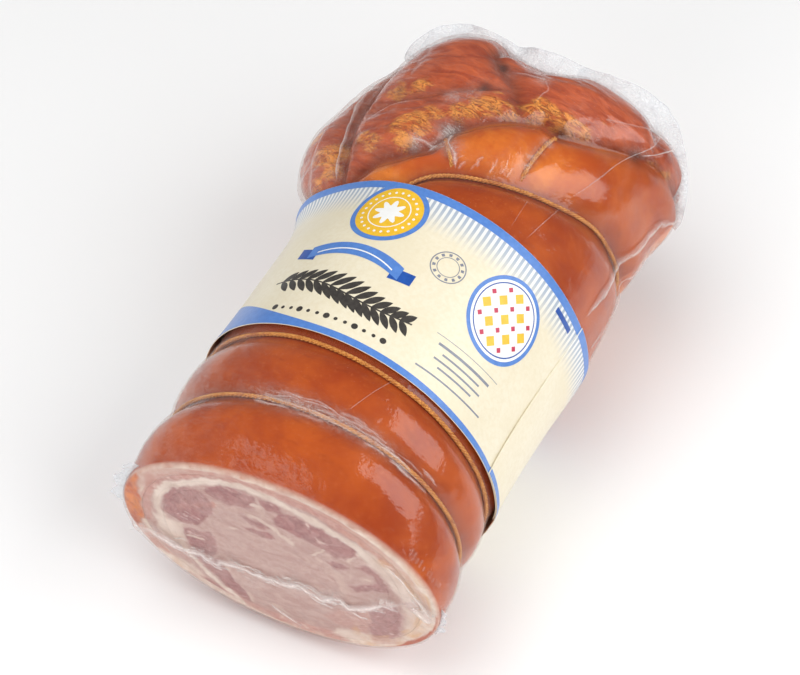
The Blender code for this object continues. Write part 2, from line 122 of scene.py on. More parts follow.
# Paper band, its stripes, and the places of its print as angles round the roll
BAND_NEAR = -63.0
BAND_FAR = 40.0
BAND_SEAM = -5.625
BAND_OVERLAP = 26.0
BAND_THICKNESS = 0.35
BAND_LIFT = 0.8
BAND_STEP = math.radians(6)
BAND_STEP_GAP = 0.25
BAND_STEPS_ROUND = 470
BAND_STEPS_ALONG = 64
STRIPE_STEP = 3.1
STRIPE_END = 14.0
SEAL_ANGLE, BADGE_ANGLE, STAMP_ANGLE, LINES_ANGLE, MARKER_ANGLE = 105, 49, 75, 51, 30
SPRIG_ANGLES = (131, 74)
LEVEL_STEP = 0.05

# Film over the rind
FILM_CLEARANCE = 0.35
FILM_BRIDGE = 0.66
FILM_OFF_CUT = 1.35
FILM_AROUND = 300
FILM_FACE_RINGS = 70

# Twine
TWINE_RADIUS = 1.1
TWINE_LIFT = 0.45
TWINE_LOW = 1.7
TWINE_PITCH = 7.0
STRANDS = 3
STRAND_SIDES = 7
STRAND_OFFSET = 0.52 * TWINE_RADIUS
STRAND_RADIUS = 0.56 * TWINE_RADIUS
TIE_STEPS = 900
LINK_STEPS = 90
LINK_LIFT = 0.4
LINK_TUCK = 2.6

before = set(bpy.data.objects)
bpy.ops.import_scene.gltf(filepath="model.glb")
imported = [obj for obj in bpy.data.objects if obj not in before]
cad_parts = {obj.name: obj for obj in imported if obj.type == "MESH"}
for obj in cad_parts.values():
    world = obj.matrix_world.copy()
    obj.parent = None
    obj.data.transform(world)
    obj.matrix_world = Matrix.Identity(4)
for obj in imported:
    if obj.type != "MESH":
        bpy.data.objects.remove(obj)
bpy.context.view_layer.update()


def srgb(red, green, blue):
    """Linear colour of a colour given as it looks on a screen, 0 to 255 each."""
    share = np.array([red, green, blue]) / 255.0
    linear = np.where(share <= 0.04045, share / 12.92, ((share + 0.055) / 1.055) ** 2.4)
    return tuple(float(x) for x in linear)


def ease(share):
    """Smooth step from 0 to 1: 3s² - 2s³ of the share held between 0 and 1."""
    share = np.clip(share, 0.0, 1.0)
    return share * share * (3 - 2 * share)


def follow(stations, values, where):
    """A smooth curve (cubic, with slopes from the neighbours) through values at the stations."""
    stations = np.asarray(stations, float)
    values = np.asarray(values, float)
    slopes = np.gradient(values, stations)
    where = np.clip(where, stations[0], stations[-1])
    k = np.clip(np.searchsorted(stations, where) - 1, 0, len(stations) - 2)
    step = stations[k + 1] - stations[k]
    s = (where - stations[k]) / step
    start = values[k] * (2 * s**3 - 3 * s**2 + 1) + slopes[k] * step * (s**3 - 2 * s**2 + s)
    end = values[k + 1] * (3 * s**2 - 2 * s**3) + slopes[k + 1] * step * (s**3 - s**2)
    return start + end


def section(along):
    """Centre X, centre Z, half width, half height, skew and pinch of the roll at a distance along it."""
    along = np.minimum(along, DOME_START)
    tables = (STATION_CENTRE_X, STATION_UNDERSIDE, STATION_TOP, STATION_HALF_WIDTH, STATION_SKEW,
              STATION_PINCH_BELOW)
    centre, low, high, half_width, skew, pinch = (follow(STATION_Y, table, along) for table in tables)
    return centre, (low + high) / 2, half_width, (high - low) / 2, skew, pinch


def plain_point(angle, along):
    """Point of the smooth roll: an ellipse at each station, narrower below, and a dome at the folded end."""
    angle, along = np.broadcast_arrays(np.asarray(angle, float), np.asarray(along, float))
    turn = np.clip((along - DOME_START) / DOME_RUN, 0.0, 1.0) * math.pi / 2
    centre_x, centre_z, half_width, half_height, skew, pinch = section(along)
    across = half_width * np.cos(turn) * np.cos(angle) * (1 - pinch * np.maximum(-np.sin(angle), 0))
    up = half_height * np.cos(turn) * np.sin(angle)
    y = np.minimum(along, DOME_START) + DOME_DEPTH * np.sin(turn) + skew * across
    return np.stack([centre_x + across, y, centre_z + up], axis=-1)


def outward(angle, along):
    """Unit normal of the smooth roll: the cross product of small steps along it and round it."""
    step = 0.5
    round_it = plain_point(angle + step / 80, along) - plain_point(angle - step / 80, along)
    along_it = plain_point(angle, along + step) - plain_point(angle, along - step)
    normal = np.cross(along_it, round_it)
    return normal / (np.linalg.norm(normal, axis=-1, keepdims=True) + 1e-12)


def slanted(angle, row):
    """Distance along the roll of a row: rows near the third tie follow its slant."""
    degrees_away = (np.degrees(angle) - SLANT_DIP_ANGLE + 180) % 360 - 180
    tilt = SLANT * np.cos(angle) - SLANT_DIP * np.exp(-((degrees_away / SLANT_DIP_WIDTH) ** 2))
    start, full, last, end = SLANT_REACH
    rise = np.clip((row - start) / (full - start), 0, 1)
    fall = np.clip((end - row) / (end - last), 0, 1)
    share = np.minimum(rise, fall)
    return row + tilt * share * share * (3 - 2 * share)


def row_at(angle, along):
    """The row that lies at a distance along the roll: steps that close the gap, repeated."""
    row = np.array(along, float)
    for _ in range(24):
        row = row + 0.6 * (along - slanted(angle, row))
    return row


def unit(vectors):
    """The same directions, each one long."""
    return vectors / np.linalg.norm(vectors, axis=-1, keepdims=True)


def lengths_along(points):
    """Distance from the first point to each one, along the line through them."""
    return np.concatenate([[0], np.cumsum(np.linalg.norm(np.diff(points, axis=0), axis=-1))])


def distance_to_path(points, path):
    """Distance from each point to the nearest of the straight pieces between the path's points."""
    nearest = np.full(points.shape[:-1], np.inf)
    for start, end in zip(path[:-1], path[1:]):
        piece = end - start
        share = np.clip(((points - start) @ piece) / (piece @ piece), 0, 1)
        gap = np.linalg.norm(points - (start + share[..., None] * piece), axis=-1)
        nearest = np.minimum(nearest, gap)
    return nearest


def on_roll(pairs):
    """Points of the smooth roll at pairs of an angle in degrees and a distance along."""
    angles, along = np.array(pairs, float).T
    return plain_point(np.radians(angles), along)


def lobes(points):
    """Height of the lobes of the folded end: each is its rise times exp(-(distance / radius)³)."""
    height = np.zeros(points.shape[:-1])
    for angle, along, rise, radius in LOBES:
        away = np.linalg.norm(points - on_roll([(angle, along)])[0], axis=-1)
        height += rise * np.exp(-((away / radius) ** 3))
    return height


def creases(points):
    """Height of the creases, below the roll: the deepest of -depth times exp(-(distance / width)^1.5)."""
    height = np.zeros(points.shape[:-1])
    for depth, width, pairs in CREASES:
        away = distance_to_path(points, on_roll(pairs))
        height = np.minimum(height, -depth * np.exp(-((away / width) ** CREASE_SHAPE)))
    return height


def grooves(row):
    """Height of the ties' grooves at a row: -depth times exp(-(distance / width)^1.5) for each tie."""
    height = np.zeros(np.shape(row))
    for centre, depth in TIES.values():
        height = height - depth * np.exp(-((np.abs(row - centre) / TIE_WIDTH) ** TIE_SHAPE))
    return height


def fold_share(angle, along):
    """How far a point is past the edge of the folded flap: 0 on the smooth rind, 1 on the rough fold."""
    pairs = np.array(FOLD_EDGE, float)
    order = np.argsort(pairs[:, 0])
    edge = np.interp(np.degrees(angle), pairs[order, 0], pairs[order, 1], period=360)
    return ease((along - edge + 1.5) / 5.0)


def lattice(cells, seed):
    """A made-up number from 0 to 1 for each cell: the fractional part of a large sine."""
    mixed = np.sin(cells @ np.array([127.1, 311.7, 74.7]) + seed * 17.3) * 43758.5453
    return mixed - np.floor(mixed)


def noise(points, cell, seed):
    """Smooth noise from -1 to 1: numbers at the corners of cubes, blended by smooth steps."""
    scaled = points / cell
    base = np.floor(scaled)
    part = ease(scaled - base)
    total = np.zeros(points.shape[:-1])
    for corner in itertools.product((0.0, 1.0), repeat=3):
        corner = np.array(corner)
        weight = np.prod(np.where(corner > 0, part, 1 - part), axis=-1)
        total += weight * lattice(base + corner, seed)
    return total * 2 - 1


def fractal(points, cell, seed, octaves=4):
    """Sum of noises, each at half the cell and half the height of the last, divided by 1.6."""
    return sum(noise(points, cell / 2**k, seed + k) / 2**k for k in range(octaves)) / 1.6


def ridged(points, cell, seed, sharp):
    """Thin crests where a noise passes through zero: (1 - sharp |noise|), held above 0."""
    return np.maximum(1 - sharp * np.abs(noise(points, cell, seed)), 0)


def grid_faces(rows, columns, wrap_rows=False, wrap_columns=False, first=0):
    """Squares between the points of a grid, as an array of four indices each."""
    i = np.arange(rows if wrap_rows else rows - 1)
    j = np.arange(columns if wrap_columns else columns - 1)
    i, j = np.meshgrid(i, j, indexing="ij")
    after_i = (i + 1) % rows
    after_j = (j + 1) % columns
    corners = (i * columns + j, i * columns + after_j, after_i * columns + after_j, after_i * columns + j)
    return np.stack(corners, axis=-1).reshape(-1, 4) + first


def fan_faces(centre, ring_first, count, flip=False):
    """Triangles from one point to a ring."""
    k = np.arange(count)
    pair = (ring_first + k, ring_first + (k + 1) % count)
    if flip:
        pair = pair[::-1]
    return np.stack([np.full(count, centre), *pair], axis=-1)


def turned_out(points, faces):
    """The same faces, turned over if the volume that they shut in comes out negative."""
    volume = 0.0
    for part in faces:
        a, b, c = (points[part[:, k]] for k in range(3))
        volume += np.einsum("ij,ij->", a, np.cross(b, c))
        if part.shape[1] == 4:
            d = points[part[:, 3]]
            volume += np.einsum("ij,ij->", a, np.cross(c, d))
    return [part[:, ::-1] for part in faces] if volume < 0 else faces


def make_piece(name, points, faces, material, nodes=(), values=None, uv=None, closed=True):
    """One piece from points in millimetres and lists of square and triangular faces, riding on the root."""
    faces = [np.asarray(part) for part in (faces if isinstance(faces, list) else [faces])]
    points = np.asarray(points, float).reshape(-1, 3)
    if closed:
        faces = turned_out(points, faces)
    placed = (points + SHIFT) * MM
    corners = np.concatenate([part.ravel() for part in faces])
    sizes = np.concatenate([np.full(len(part), part.shape[1]) for part in faces])
    mesh = bpy.data.meshes.new(name)
    mesh.vertices.add(len(placed))
    mesh.vertices.foreach_set("co", placed.astype(np.float32).ravel())
    mesh.loops.add(len(corners))
    mesh.loops.foreach_set("vertex_index", corners.astype(np.int32))
    mesh.polygons.add(len(sizes))
    mesh.polygons.foreach_set("loop_start", (np.cumsum(sizes) - sizes).astype(np.int32))
    mesh.update(calc_edges=True)
    mesh.validate()
    mesh.shade_smooth()
    for key, value in (values or {}).items():
        layer = mesh.attributes.new(key, "FLOAT", "POINT")
        layer.data.foreach_set("value", np.asarray(value, np.float32).ravel())
    if uv is not None:
        layer = mesh.uv_layers.new(name="flat")
        flat = np.asarray(uv, float).reshape(-1, 2)[corners]
        layer.data.foreach_set("uv", flat.astype(np.float32).ravel())
    item = bpy.data.objects.new(name, mesh)
    bpy.context.scene.collection.objects.link(item)
    mesh.materials.append(material)
    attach(item, "root")
    if nodes:
        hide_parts(*nodes)


class Finish:
    """A material's node tree with short names for the nodes that these finishes use."""

    def __init__(self, name):
        self.material = bpy.data.materials.new(name)
        self.material.use_nodes = True
        self.tree = self.material.node_tree
        self.shader = self.tree.nodes["Principled BSDF"]
        self.output = self.tree.nodes["Material Output"]
        self.place = self.tree.nodes.new("ShaderNodeTexCoord").outputs["Object"]

    def link(self, source, target):
        self.tree.links.new(source, target)

    def put(self, **values):
        """Set sockets of the shader: a number or colour as it is, an output as a link."""
        for key, value in values.items():
            socket = self.shader.inputs[key.replace("_", " ")]
            if isinstance(value, bpy.types.NodeSocket):
                self.link(value, socket)
            elif isinstance(value, tuple):
                socket.default_value = (*value, 1.0)
            else:
                socket.default_value = value

    def attribute(self, name):
        """A number kept at the mesh's points."""
        node = self.tree.nodes.new("ShaderNodeAttribute")
        node.attribute_name = name
        return node.outputs["Fac"]

    def stretched(self, scale):
        """Coordinates with each direction scaled."""
        node = self.tree.nodes.new("ShaderNodeMapping")
        node.inputs["Scale"].default_value = scale
        self.link(self.place, node.inputs["Vector"])
        return node.outputs["Vector"]

    def noise(self, scale, detail, rough, bend=0.0, source=None):
        """Soft noise around 0.5, with scale per metre."""
        node = self.tree.nodes.new("ShaderNodeTexNoise")
        node.inputs["Scale"].default_value = scale
        node.inputs["Detail"].default_value = detail
        node.inputs["Roughness"].default_value = rough
        node.inputs["Distortion"].default_value = bend
        self.link(source or self.place, node.inputs["Vector"])
        return node.outputs["Fac"]

    def maths(self, what, first, second=None, clamp=False):
        """One calculation on one or two numbers or outputs."""
        node = self.tree.nodes.new("ShaderNodeMath")
        node.operation = what
        node.use_clamp = clamp
        for socket, value in zip(node.inputs, (first, second)):
            if isinstance(value, bpy.types.NodeSocket):
                self.link(value, socket)
            elif value is not None:
                socket.default_value = value
        return node.outputs[0]

    def between(self, source, low, high, to_low=0.0, to_high=1.0):
        """A number moved smoothly from one range to another and held there."""
        node = self.tree.nodes.new("ShaderNodeMapRange")
        node.interpolation_type = "SMOOTHSTEP"
        self.link(source, node.inputs["Value"])
        for key, value in zip(("From Min", "From Max", "To Min", "To Max"), (low, high, to_low, to_high)):
            node.inputs[key].default_value = value
        return node.outputs["Result"]

    def lines(self, source, half_width):
        """Thin lines where a noise passes 0.5."""
        away = self.maths("ABSOLUTE", self.maths("SUBTRACT", source, 0.5))
        return self.between(away, 0.0, half_width, 1.0, 0.0)

    def blend(self, share, first, second):
        """Mix of two colours, each a tuple or an output."""
        node = self.tree.nodes.new("ShaderNodeMix")
        node.data_type = "RGBA"
        colours = [socket for socket in node.inputs if socket.type == "RGBA"]
        fac = next(socket for socket in node.inputs if socket.name == "Factor" and socket.type == "VALUE")
        for socket, value in zip([fac, *colours], (share, first, second)):
            if isinstance(value, bpy.types.NodeSocket):
                self.link(value, socket)
            elif isinstance(value, tuple):
                socket.default_value = (*value, 1.0)
            else:
                socket.default_value = value
        return next(socket for socket in node.outputs if socket.type == "RGBA")

    def bump(self, height, distance, strength, before=None):
        """Normal of a relief, with its height in metres, laid over another where one is given."""
        node = self.tree.nodes.new("ShaderNodeBump")
        node.inputs["Strength"].default_value = strength
        node.inputs["Distance"].default_value = distance
        self.link(height, node.inputs["Height"])
        if before is not None:
            self.link(before, node.inputs["Normal"])
        return node.outputs["Normal"]

    def see_through(self, share):
        """Mix the shader with a clear one: share is how much of the shader shows."""
        clear = self.tree.nodes.new("ShaderNodeBsdfTransparent")
        mix = self.tree.nodes.new("ShaderNodeMixShader")
        self.link(share, mix.inputs[0])
        self.link(clear.outputs[0], mix.inputs[1])
        self.link(self.shader.outputs[0], mix.inputs[2])
        self.link(mix.outputs[0], self.output.inputs["Surface"])


def rind_finish():
    """Baked rind: brown and mottled, amber past the third tie, a rough red-brown fold with golden flakes of
    fat, painted shade in the grooves, creases, cracks and hollows, and white fat on the cut rim. Its relief
    is a fine grain, with sinews, pits and torn flakes on the fold, and the gloss has waves of its own."""
    f = Finish("rind")
    cloud = f.noise(38, 4, 0.6, 0.3)
    streak = f.noise(60, 4, 0.6, 0.6, f.stretched((1, 3.2, 1)))
    grain = f.noise(520, 3, 0.6)
    smooth = f.blend(f.between(cloud, 0.32, 0.70), srgb(164, 61, 9), srgb(190, 85, 18))
    smooth = f.blend(f.between(streak, 0.55, 0.78, 0, 0.5), smooth, srgb(140, 50, 10))
    smooth = f.blend(f.between(grain, 0.58, 0.78, 0, 0.45), smooth, srgb(206, 112, 58))
    amber = f.blend(f.between(cloud, 0.30, 0.72), srgb(194, 84, 22), srgb(232, 134, 48))
    amber = f.blend(f.between(grain, 0.58, 0.82, 0, 0.4), amber, srgb(156, 60, 18))
    skin = f.blend(f.attribute("amber"), smooth, amber)
    sinew = f.noise(84, 5, 0.6, 1.0, f.stretched((0.7, 2.2, 0.7)))
    rough = f.blend(f.between(sinew, 0.28, 0.74), srgb(164, 64, 31), srgb(210, 102, 56))
    pits = f.noise(120, 4, 0.6, 0.8, f.stretched((0.5, 2.2, 0.5)))
    rough = f.blend(f.between(pits, 0.62, 0.78, 0, 0.45), rough, srgb(112, 44, 24))
    pale = f.noise(90, 4, 0.6, 1.0, f.stretched((0.6, 3.0, 0.6)))
    rough = f.blend(f.between(pale, 0.60, 0.76, 0, 0.35), rough, srgb(218, 138, 92))
    colour = f.blend(f.attribute("fold"), skin, rough)
    flake_noise = f.noise(140, 4, 0.6, 1.2, f.stretched((0.6, 1.8, 0.6)))
    flake = f.blend(f.between(flake_noise, 0.34, 0.58), srgb(198, 96, 38), srgb(246, 160, 72))
    crack = f.lines(f.noise(230, 2, 0.5, 1.6, f.stretched((0.7, 1.5, 0.7))), 0.036)
    flake = f.blend(f.maths("MULTIPLY", crack, 0.7), flake, srgb(124, 50, 20))
    colour = f.blend(f.attribute("flake"), colour, flake)
    # Painted shade from the shade mask: grooves, creases, cracks and hollows darkened towards a deep brown
    colour = f.blend(f.attribute("shade"), colour, srgb(88, 34, 16))
    fat_noise = f.noise(260, 4, 0.6, 0.5)
    fat = f.blend(f.between(fat_noise, 0.3, 0.7), srgb(208, 184, 168), srgb(230, 212, 197))
    fat = f.blend(f.attribute("yellow"), fat, srgb(214, 168, 122))
    fat = f.blend(f.attribute("pink"), fat, srgb(188, 134, 120))
    colour = f.blend(f.attribute("rim"), colour, fat)
    relief = f.bump(f.noise(900, 3, 0.6), 0.00012, 0.5)
    deep = f.maths("MULTIPLY", f.maths("ADD", sinew, pits), f.attribute("fold"))
    relief = f.bump(deep, 0.0008, 0.8, relief)
    torn = f.maths("SUBTRACT", flake_noise, f.maths("MULTIPLY", crack, 0.4))
    relief = f.bump(f.maths("MULTIPLY", torn, f.attribute("flake")), 0.0010, 0.8, relief)
    wave = f.bump(f.noise(170, 3, 0.6, 1.0), 0.0005, 0.5)
    wave = f.bump(f.noise(48, 3, 0.5, 0.8), 0.0016, 0.5, wave)
    f.put(Base_Color=colour, Normal=relief, Roughness=f.between(cloud, 0.3, 0.7, 0.34, 0.46),
          Specular_IOR_Level=0.2, Coat_Weight=1.0, Coat_Roughness=0.04, Coat_Normal=wave)
    return f.material


def cut_finish(name):
    """Roast meat at the cut: pale loin, darker lean, white fat and the pink between them, from the masks."""
    f = Finish(name)
    fibre = f.noise(330, 5, 0.65, 0.6)
    cloud = f.noise(70, 4, 0.6, 0.5)
    band = f.noise(60, 4, 0.6, 0.8, f.stretched((1.0, 1.0, 2.6)))
    loin = f.blend(f.between(fibre, 0.30, 0.70), srgb(186, 149, 140), srgb(202, 171, 162))
    loin = f.blend(f.between(band, 0.42, 0.66, 0, 0.65), loin, srgb(174, 134, 125))
    loin = f.blend(f.between(cloud, 0.56, 0.72, 0, 0.5), loin, srgb(214, 188, 176))
    lean = f.blend(f.between(fibre, 0.30, 0.68), srgb(142, 86, 86), srgb(174, 121, 118))
    pink = f.blend(f.between(fibre, 0.30, 0.70), srgb(180, 122, 111), srgb(204, 156, 143))
    fat = f.blend(f.between(cloud, 0.30, 0.70), srgb(208, 184, 170), srgb(230, 212, 199))
    colour = f.blend(f.attribute("lean"), loin, lean)
    colour = f.blend(f.attribute("pink"), colour, pink)
    colour = f.blend(f.attribute("fat"), colour, fat)
    colour = f.blend(f.attribute("yellow"), colour, srgb(208, 164, 120))
    marble = f.between(f.noise(210, 4, 0.6, 1.2, f.stretched((0.6, 1, 1.4))), 0.58, 0.72, 0, 0.75)
    colour = f.blend(f.maths("MULTIPLY", marble, f.attribute("marble")), colour, srgb(236, 212, 200))
    relief = f.bump(fibre, 0.0006, 0.6)
    f.put(Base_Color=colour, Normal=relief, Roughness=f.between(fibre, 0.3, 0.7, 0.32, 0.5),
          Coat_Weight=0.35, Coat_Roughness=0.12)
    return f.material


def twine_finish():
    """Cotton twine soaked with juices: golden brown, darker between the fibres."""
    f = Finish("twine")
    fibre = f.noise(1400, 3, 0.6, 0.4)
    stain = f.noise(90, 3, 0.6)
    colour = f.blend(f.between(fibre, 0.35, 0.65), srgb(186, 108, 40), srgb(238, 172, 86))
    colour = f.blend(f.between(stain, 0.45, 0.70, 0, 0.6), colour, srgb(172, 86, 34))
    f.put(Base_Color=colour, Roughness=0.55, Normal=f.bump(fibre, 0.0003, 0.7), Coat_Weight=0.4,
          Coat_Roughness=0.15)
    return f.material


def paper_finish():
    """Smooth coated paper: cream, with pale blue and white stripes at its far edge that fade out."""
    f = Finish("paper_cream")
    uv = f.tree.nodes.new("ShaderNodeUVMap")
    uv.uv_map = "flat"
    parts = f.tree.nodes.new("ShaderNodeSeparateXYZ")
    f.link(uv.outputs[0], parts.inputs[0])
    fleck = f.noise(420, 4, 0.6)
    cloud = f.noise(30, 3, 0.5)
    cream = f.blend(f.between(fleck, 0.3, 0.7), srgb(236, 225, 197), srgb(241, 232, 208))
    cream = f.blend(f.between(cloud, 0.4, 0.7, 0, 0.5), cream, srgb(232, 220, 189))
    wave = f.maths("SINE", f.maths("MULTIPLY", parts.outputs[0], 2 * math.pi / STRIPE_STEP))
    stripe = f.between(wave, -0.25, 0.25)
    fade = f.between(parts.outputs[1], STRIPE_END, BAND_FAR - 6.0, 0.0, 0.9)
    striped = f.blend(stripe, srgb(160, 177, 200), srgb(238, 240, 241))
    colour = f.blend(fade, cream, striped)
    crease = f.noise(46, 3, 0.5, 0.6)
    f.put(Base_Color=colour, Roughness=0.38, Normal=f.bump(crease, 0.0011, 0.5), Coat_Weight=0.25,
          Coat_Roughness=0.2)
    return f.material


def ink_finish(name, light, dark):
    """Printing ink on the coated paper: a field of colour, a little uneven."""
    f = Finish(name)
    fleck = f.noise(380, 4, 0.6)
    crease = f.noise(46, 3, 0.5, 0.6)
    f.put(Base_Color=f.blend(f.between(fleck, 0.3, 0.7), dark, light), Roughness=0.36,
          Normal=f.bump(crease, 0.0011, 0.5), Coat_Weight=0.25, Coat_Roughness=0.2)
    return f.material


def film_finish(name, least, most, scale, even, colour, rough=0.1, shine=0.8, deep=0.0008):
    """Clear film: see-through with a gloss, milky where it crumples: the haze kept at its points shows evenly
    for one share, and as fine lines and patches for the rest. Its bump is deep metres high."""
    f = Finish(name)
    wrinkle = f.noise(scale, 4, 0.6, 1.5, f.stretched((0.8, 3.0, 0.8)))
    crossing = f.noise(scale * 1.3, 3, 0.6, 1.0, f.stretched((2.4, 0.7, 2.4)))
    line = f.maths("MAXIMUM", f.lines(wrinkle, 0.035), f.lines(crossing, 0.022))
    milk = f.between(f.noise(scale * 0.6, 3, 0.6), 0.35, 0.7)
    body = f.maths("ADD", f.maths("MULTIPLY", line, 0.75), f.maths("MULTIPLY", milk, 0.3))
    body = f.maths("ADD", f.maths("MULTIPLY", body, 1 - even), even, True)
    haze = f.maths("MULTIPLY", f.attribute("haze"), body)
    edge = f.tree.nodes.new("ShaderNodeFresnel")
    edge.inputs["IOR"].default_value = 1.45
    relief = f.bump(f.maths("ADD", wrinkle, crossing), deep, 0.7)
    f.link(relief, edge.inputs["Normal"])
    shown = f.maths("MULTIPLY", haze, most - least)
    shown = f.maths("ADD", f.maths("ADD", shown, least), f.maths("MULTIPLY", edge.outputs[0], 0.25), True)
    f.put(Base_Color=colour, Roughness=rough, Normal=relief, Specular_IOR_Level=shine)
    f.see_through(shown)
    return f.material


# Rows of the rind: from the cut to the band, under the band, and the folded end
RIND_ROWS = np.concatenate([np.arange(-133.0, -58.0, 1.15), np.arange(-58.0, 34.0, 6.0),
                            np.arange(36.0, 222.5, 1.0)])
RIND_AROUND = 336
FACE_AROUND = 520
RIM_STEPS = 9
CUT_EDGE = 1.2
LOIN_RINGS = 104
LOIN_PROUD = 0.8

# How the strands of the fold lie, as scales of X, Y and Z, and its calmer spots
STRANDS_LIE = np.array([1.0, 2.4, 1.0])
CALM_SPOTS = ((120, 158, 34), (46, 150, 26))


def angles_round(count):
    """Equal steps once round the roll."""
    return np.linspace(0, 2 * math.pi, count, endpoint=False)


def layer_share(name, angle):
    """Share of the way from the middle to the skin at which a layer starts."""
    share, less_left, less_right, less_below = LAYERS[name]
    left = np.maximum(-np.cos(angle), 0) ** 2
    right = np.maximum(np.cos(angle), 0) ** 2
    below = np.maximum(-np.sin(angle), 0) ** 2
    return share - less_left * left - less_right * right - less_below * below


def layer_rings(name, count, inset=0.0):
    """Rings of a layer's outer side: the roll's section times its share, drawn in behind the cut, and a
    dome of two rings that ends in a point."""
    angle = angles_round(count)
    share = layer_share(name, angle)
    rings = []
    for row in LAYER_ROWS:
        centre_x, centre_z, *_ = section(np.float64(row))
        centre = np.array([centre_x, row, centre_z])
        drawn_in = 1.0 if row <= CUT_Y else NARROWING
        reach = (plain_point(angle, row) - centre) * (share * drawn_in)[:, None]
        reach -= inset * reach / np.linalg.norm(reach, axis=-1, keepdims=True)
        rings.append(centre + reach)
    depth = LAYER_DOME * LAYERS[name][0] - inset
    for step in (1, 2):
        turn = step / 3 * math.pi / 2
        ring = centre + reach * math.cos(turn)
        ring[:, 1] += depth * math.sin(turn)
        rings.append(ring)
    return rings, centre + np.array([0.0, depth, 0.0])


def body_of_rings(start_pole, rings, end_pole):
    """Points and faces of a closed body through rings of one length, with a point at each end."""
    count = len(rings[0])
    points = np.concatenate([start_pole[None], *rings, end_pole[None]])
    faces = [grid_faces(len(rings), count, wrap_columns=True, first=1),
             np.concatenate([fan_faces(0, 1, count, True),
                             fan_faces(len(points) - 1, 1 + (len(rings) - 1) * count, count)])]
    return points, faces


# The cut face: its middle and half sizes, and its fields as outlines, streaks and spots in X and Z. A streak
# has a half width before its points, and one of at most FAINT_BELOW is faint and broken.
FACE_X, FACE_Z = 3.0, 69.5
FACE_HALF_WIDTH, FACE_HALF_HEIGHT = 85.5, 58.5
FAINT_BELOW = 1.35
LEAN_FIELDS = (
    ((-60, 80), (-59, 88), (-53, 95), (-47, 100), (-40, 103), (-34, 101), (-30, 96), (-32, 88), (-36, 80),
     (-40, 73), (-50, 69), (-57, 71)),
    ((-33, 108), (-26, 113), (-15, 115), (-7, 114), (-7, 108), (-12, 103), (-20, 101), (-30, 101),
     (-35, 104)),
    ((-5, 113), (0, 115), (6, 113), (6, 109), (0, 108), (-4, 109)),
    ((4, 109), (14, 111), (28, 109), (38, 105), (45, 103), (46, 97), (40, 93), (34, 92), (26, 94), (18, 96),
     (10, 97), (4, 98), (2, 103)),
    ((-15, 96), (-5, 97), (0, 95), (-2, 91), (-10, 92)),
    ((-16, 87), (-8, 89), (0, 90), (3, 87), (-6, 85)),
    ((30, 85), (34, 88), (42, 87), (40, 83), (33, 82)),
    ((46, 89), (50, 94), (57, 89), (61, 83), (62, 77), (54, 74), (46, 68), (42, 70), (50, 77), (56, 81),
     (54, 87)),
    ((-48, 65), (-44, 68), (-38, 69), (-33, 71), (-31, 66), (-31, 55), (-33, 49), (-44, 49), (-47, 55),
     (-49, 60)),
    ((-44, 45), (-36, 48), (-30, 49), (-27, 46), (-24, 40), (-20, 32), (-15, 25), (-12, 21), (-18, 20),
     (-26, 25), (-34, 33), (-42, 40)),
    ((52, 56), (58, 62), (66, 68), (69, 60), (68, 50), (66, 40), (60, 34), (54, 32), (51, 38), (53, 46)),
    ((-46, 25), (-38, 26), (-30, 22), (-22, 17), (-16, 14), (-30, 16), (-40, 20)),
)
FAT_FIELDS = (
    ((-66, 68), (-58, 66), (-50, 68), (-48, 60), (-49, 52), (-46, 46), (-52, 46), (-62, 52), (-63, 60)),
    ((46, 106), (56, 104), (66, 94), (74, 84), (79, 78), (70, 74), (63, 82), (58, 90), (50, 97), (46, 99)),
    ((-68, 37), (-58, 36), (-46, 33), (-40, 28), (-46, 24), (-54, 26), (-63, 31)),
    ((70, 72), (79, 67), (84, 60), (84, 50), (79, 42), (73, 36), (67, 37), (71, 48), (71, 60)),
    ((35, 27), (44, 31), (52, 31), (54, 26), (50, 21), (40, 19), (32, 21)),
)
PINK_FIELDS = (
    ((-72, 46), (-60, 41), (-46, 35), (-48, 41), (-62, 47), (-70, 50)),
    ((36, 46), (52, 56), (54, 40), (50, 32), (36, 30), (26, 34)),
)
PINK_STREAKS = (
    (2.8, ((-70, 62), (-69, 80), (-65, 92), (-58, 102), (-50, 109), (-40, 116), (-30, 121), (-15, 125),
           (0, 124), (15, 124), (30, 119), (45, 112), (55, 107), (62, 101))),
    (1.6, ((-50, 82), (-38, 91), (-30, 96))),
    (1.8, ((0, 15), (12, 16), (26, 19))),
    (1.6, ((72, 64), (77, 56), (76, 46))),
)
FAT_STREAKS = (
    (2.2, ((-60, 62), (-62.5, 75), (-61, 88), (-55, 97), (-47, 104), (-36, 111), (-26, 116), (-15, 119),
           (0, 119), (12, 116), (25, 113), (38, 108.5), (46, 105), (51, 99))),
    (1.4, ((-50, 46), (-44, 38), (-36, 30), (-26, 22), (-18, 16))),
    (0.9, ((-27, 47), (-22, 38), (-17, 29), (-13, 22))),
    (1.1, ((-2, 28), (4, 24), (12, 19), (18, 16))),
    (0.6, ((-47, 60), (-41, 61), (-35, 63))),
    (0.9, ((-9, 108), (-4, 109), (2, 105), (6, 104))),
    (1.2, ((-14, 98), (-7, 100), (0, 97), (7, 92), (12, 89))),
    (0.5, ((-22, 82), (-14, 84), (-7, 85))),
    (1.1, ((43, 80), (47, 82), (46, 86), (52, 82))),
    (0.6, ((14, 97), (12, 93), (8, 91))),
    (0.6, ((30, 94), (26, 89), (22, 86))),
    (0.7, ((46, 98), (42, 92), (46, 88))),
)
FLAP = ((-90, 44), (-76, 49), (-71, 60), (-72, 72), (-73, 86), (-71, 99), (-90, 106))
LEAN_SOFT, FIELD_SOFT, FLAP_SOFT = 0.9, 1.6, 1.2
YELLOW_SPOTS = ((60, 102, 4), (66, 96, 4), (82, 58, 6), (80, 44, 6), (70, 34, 6), (45, 33, 4), (52, 24, 5),
                (-56, 28, 4))


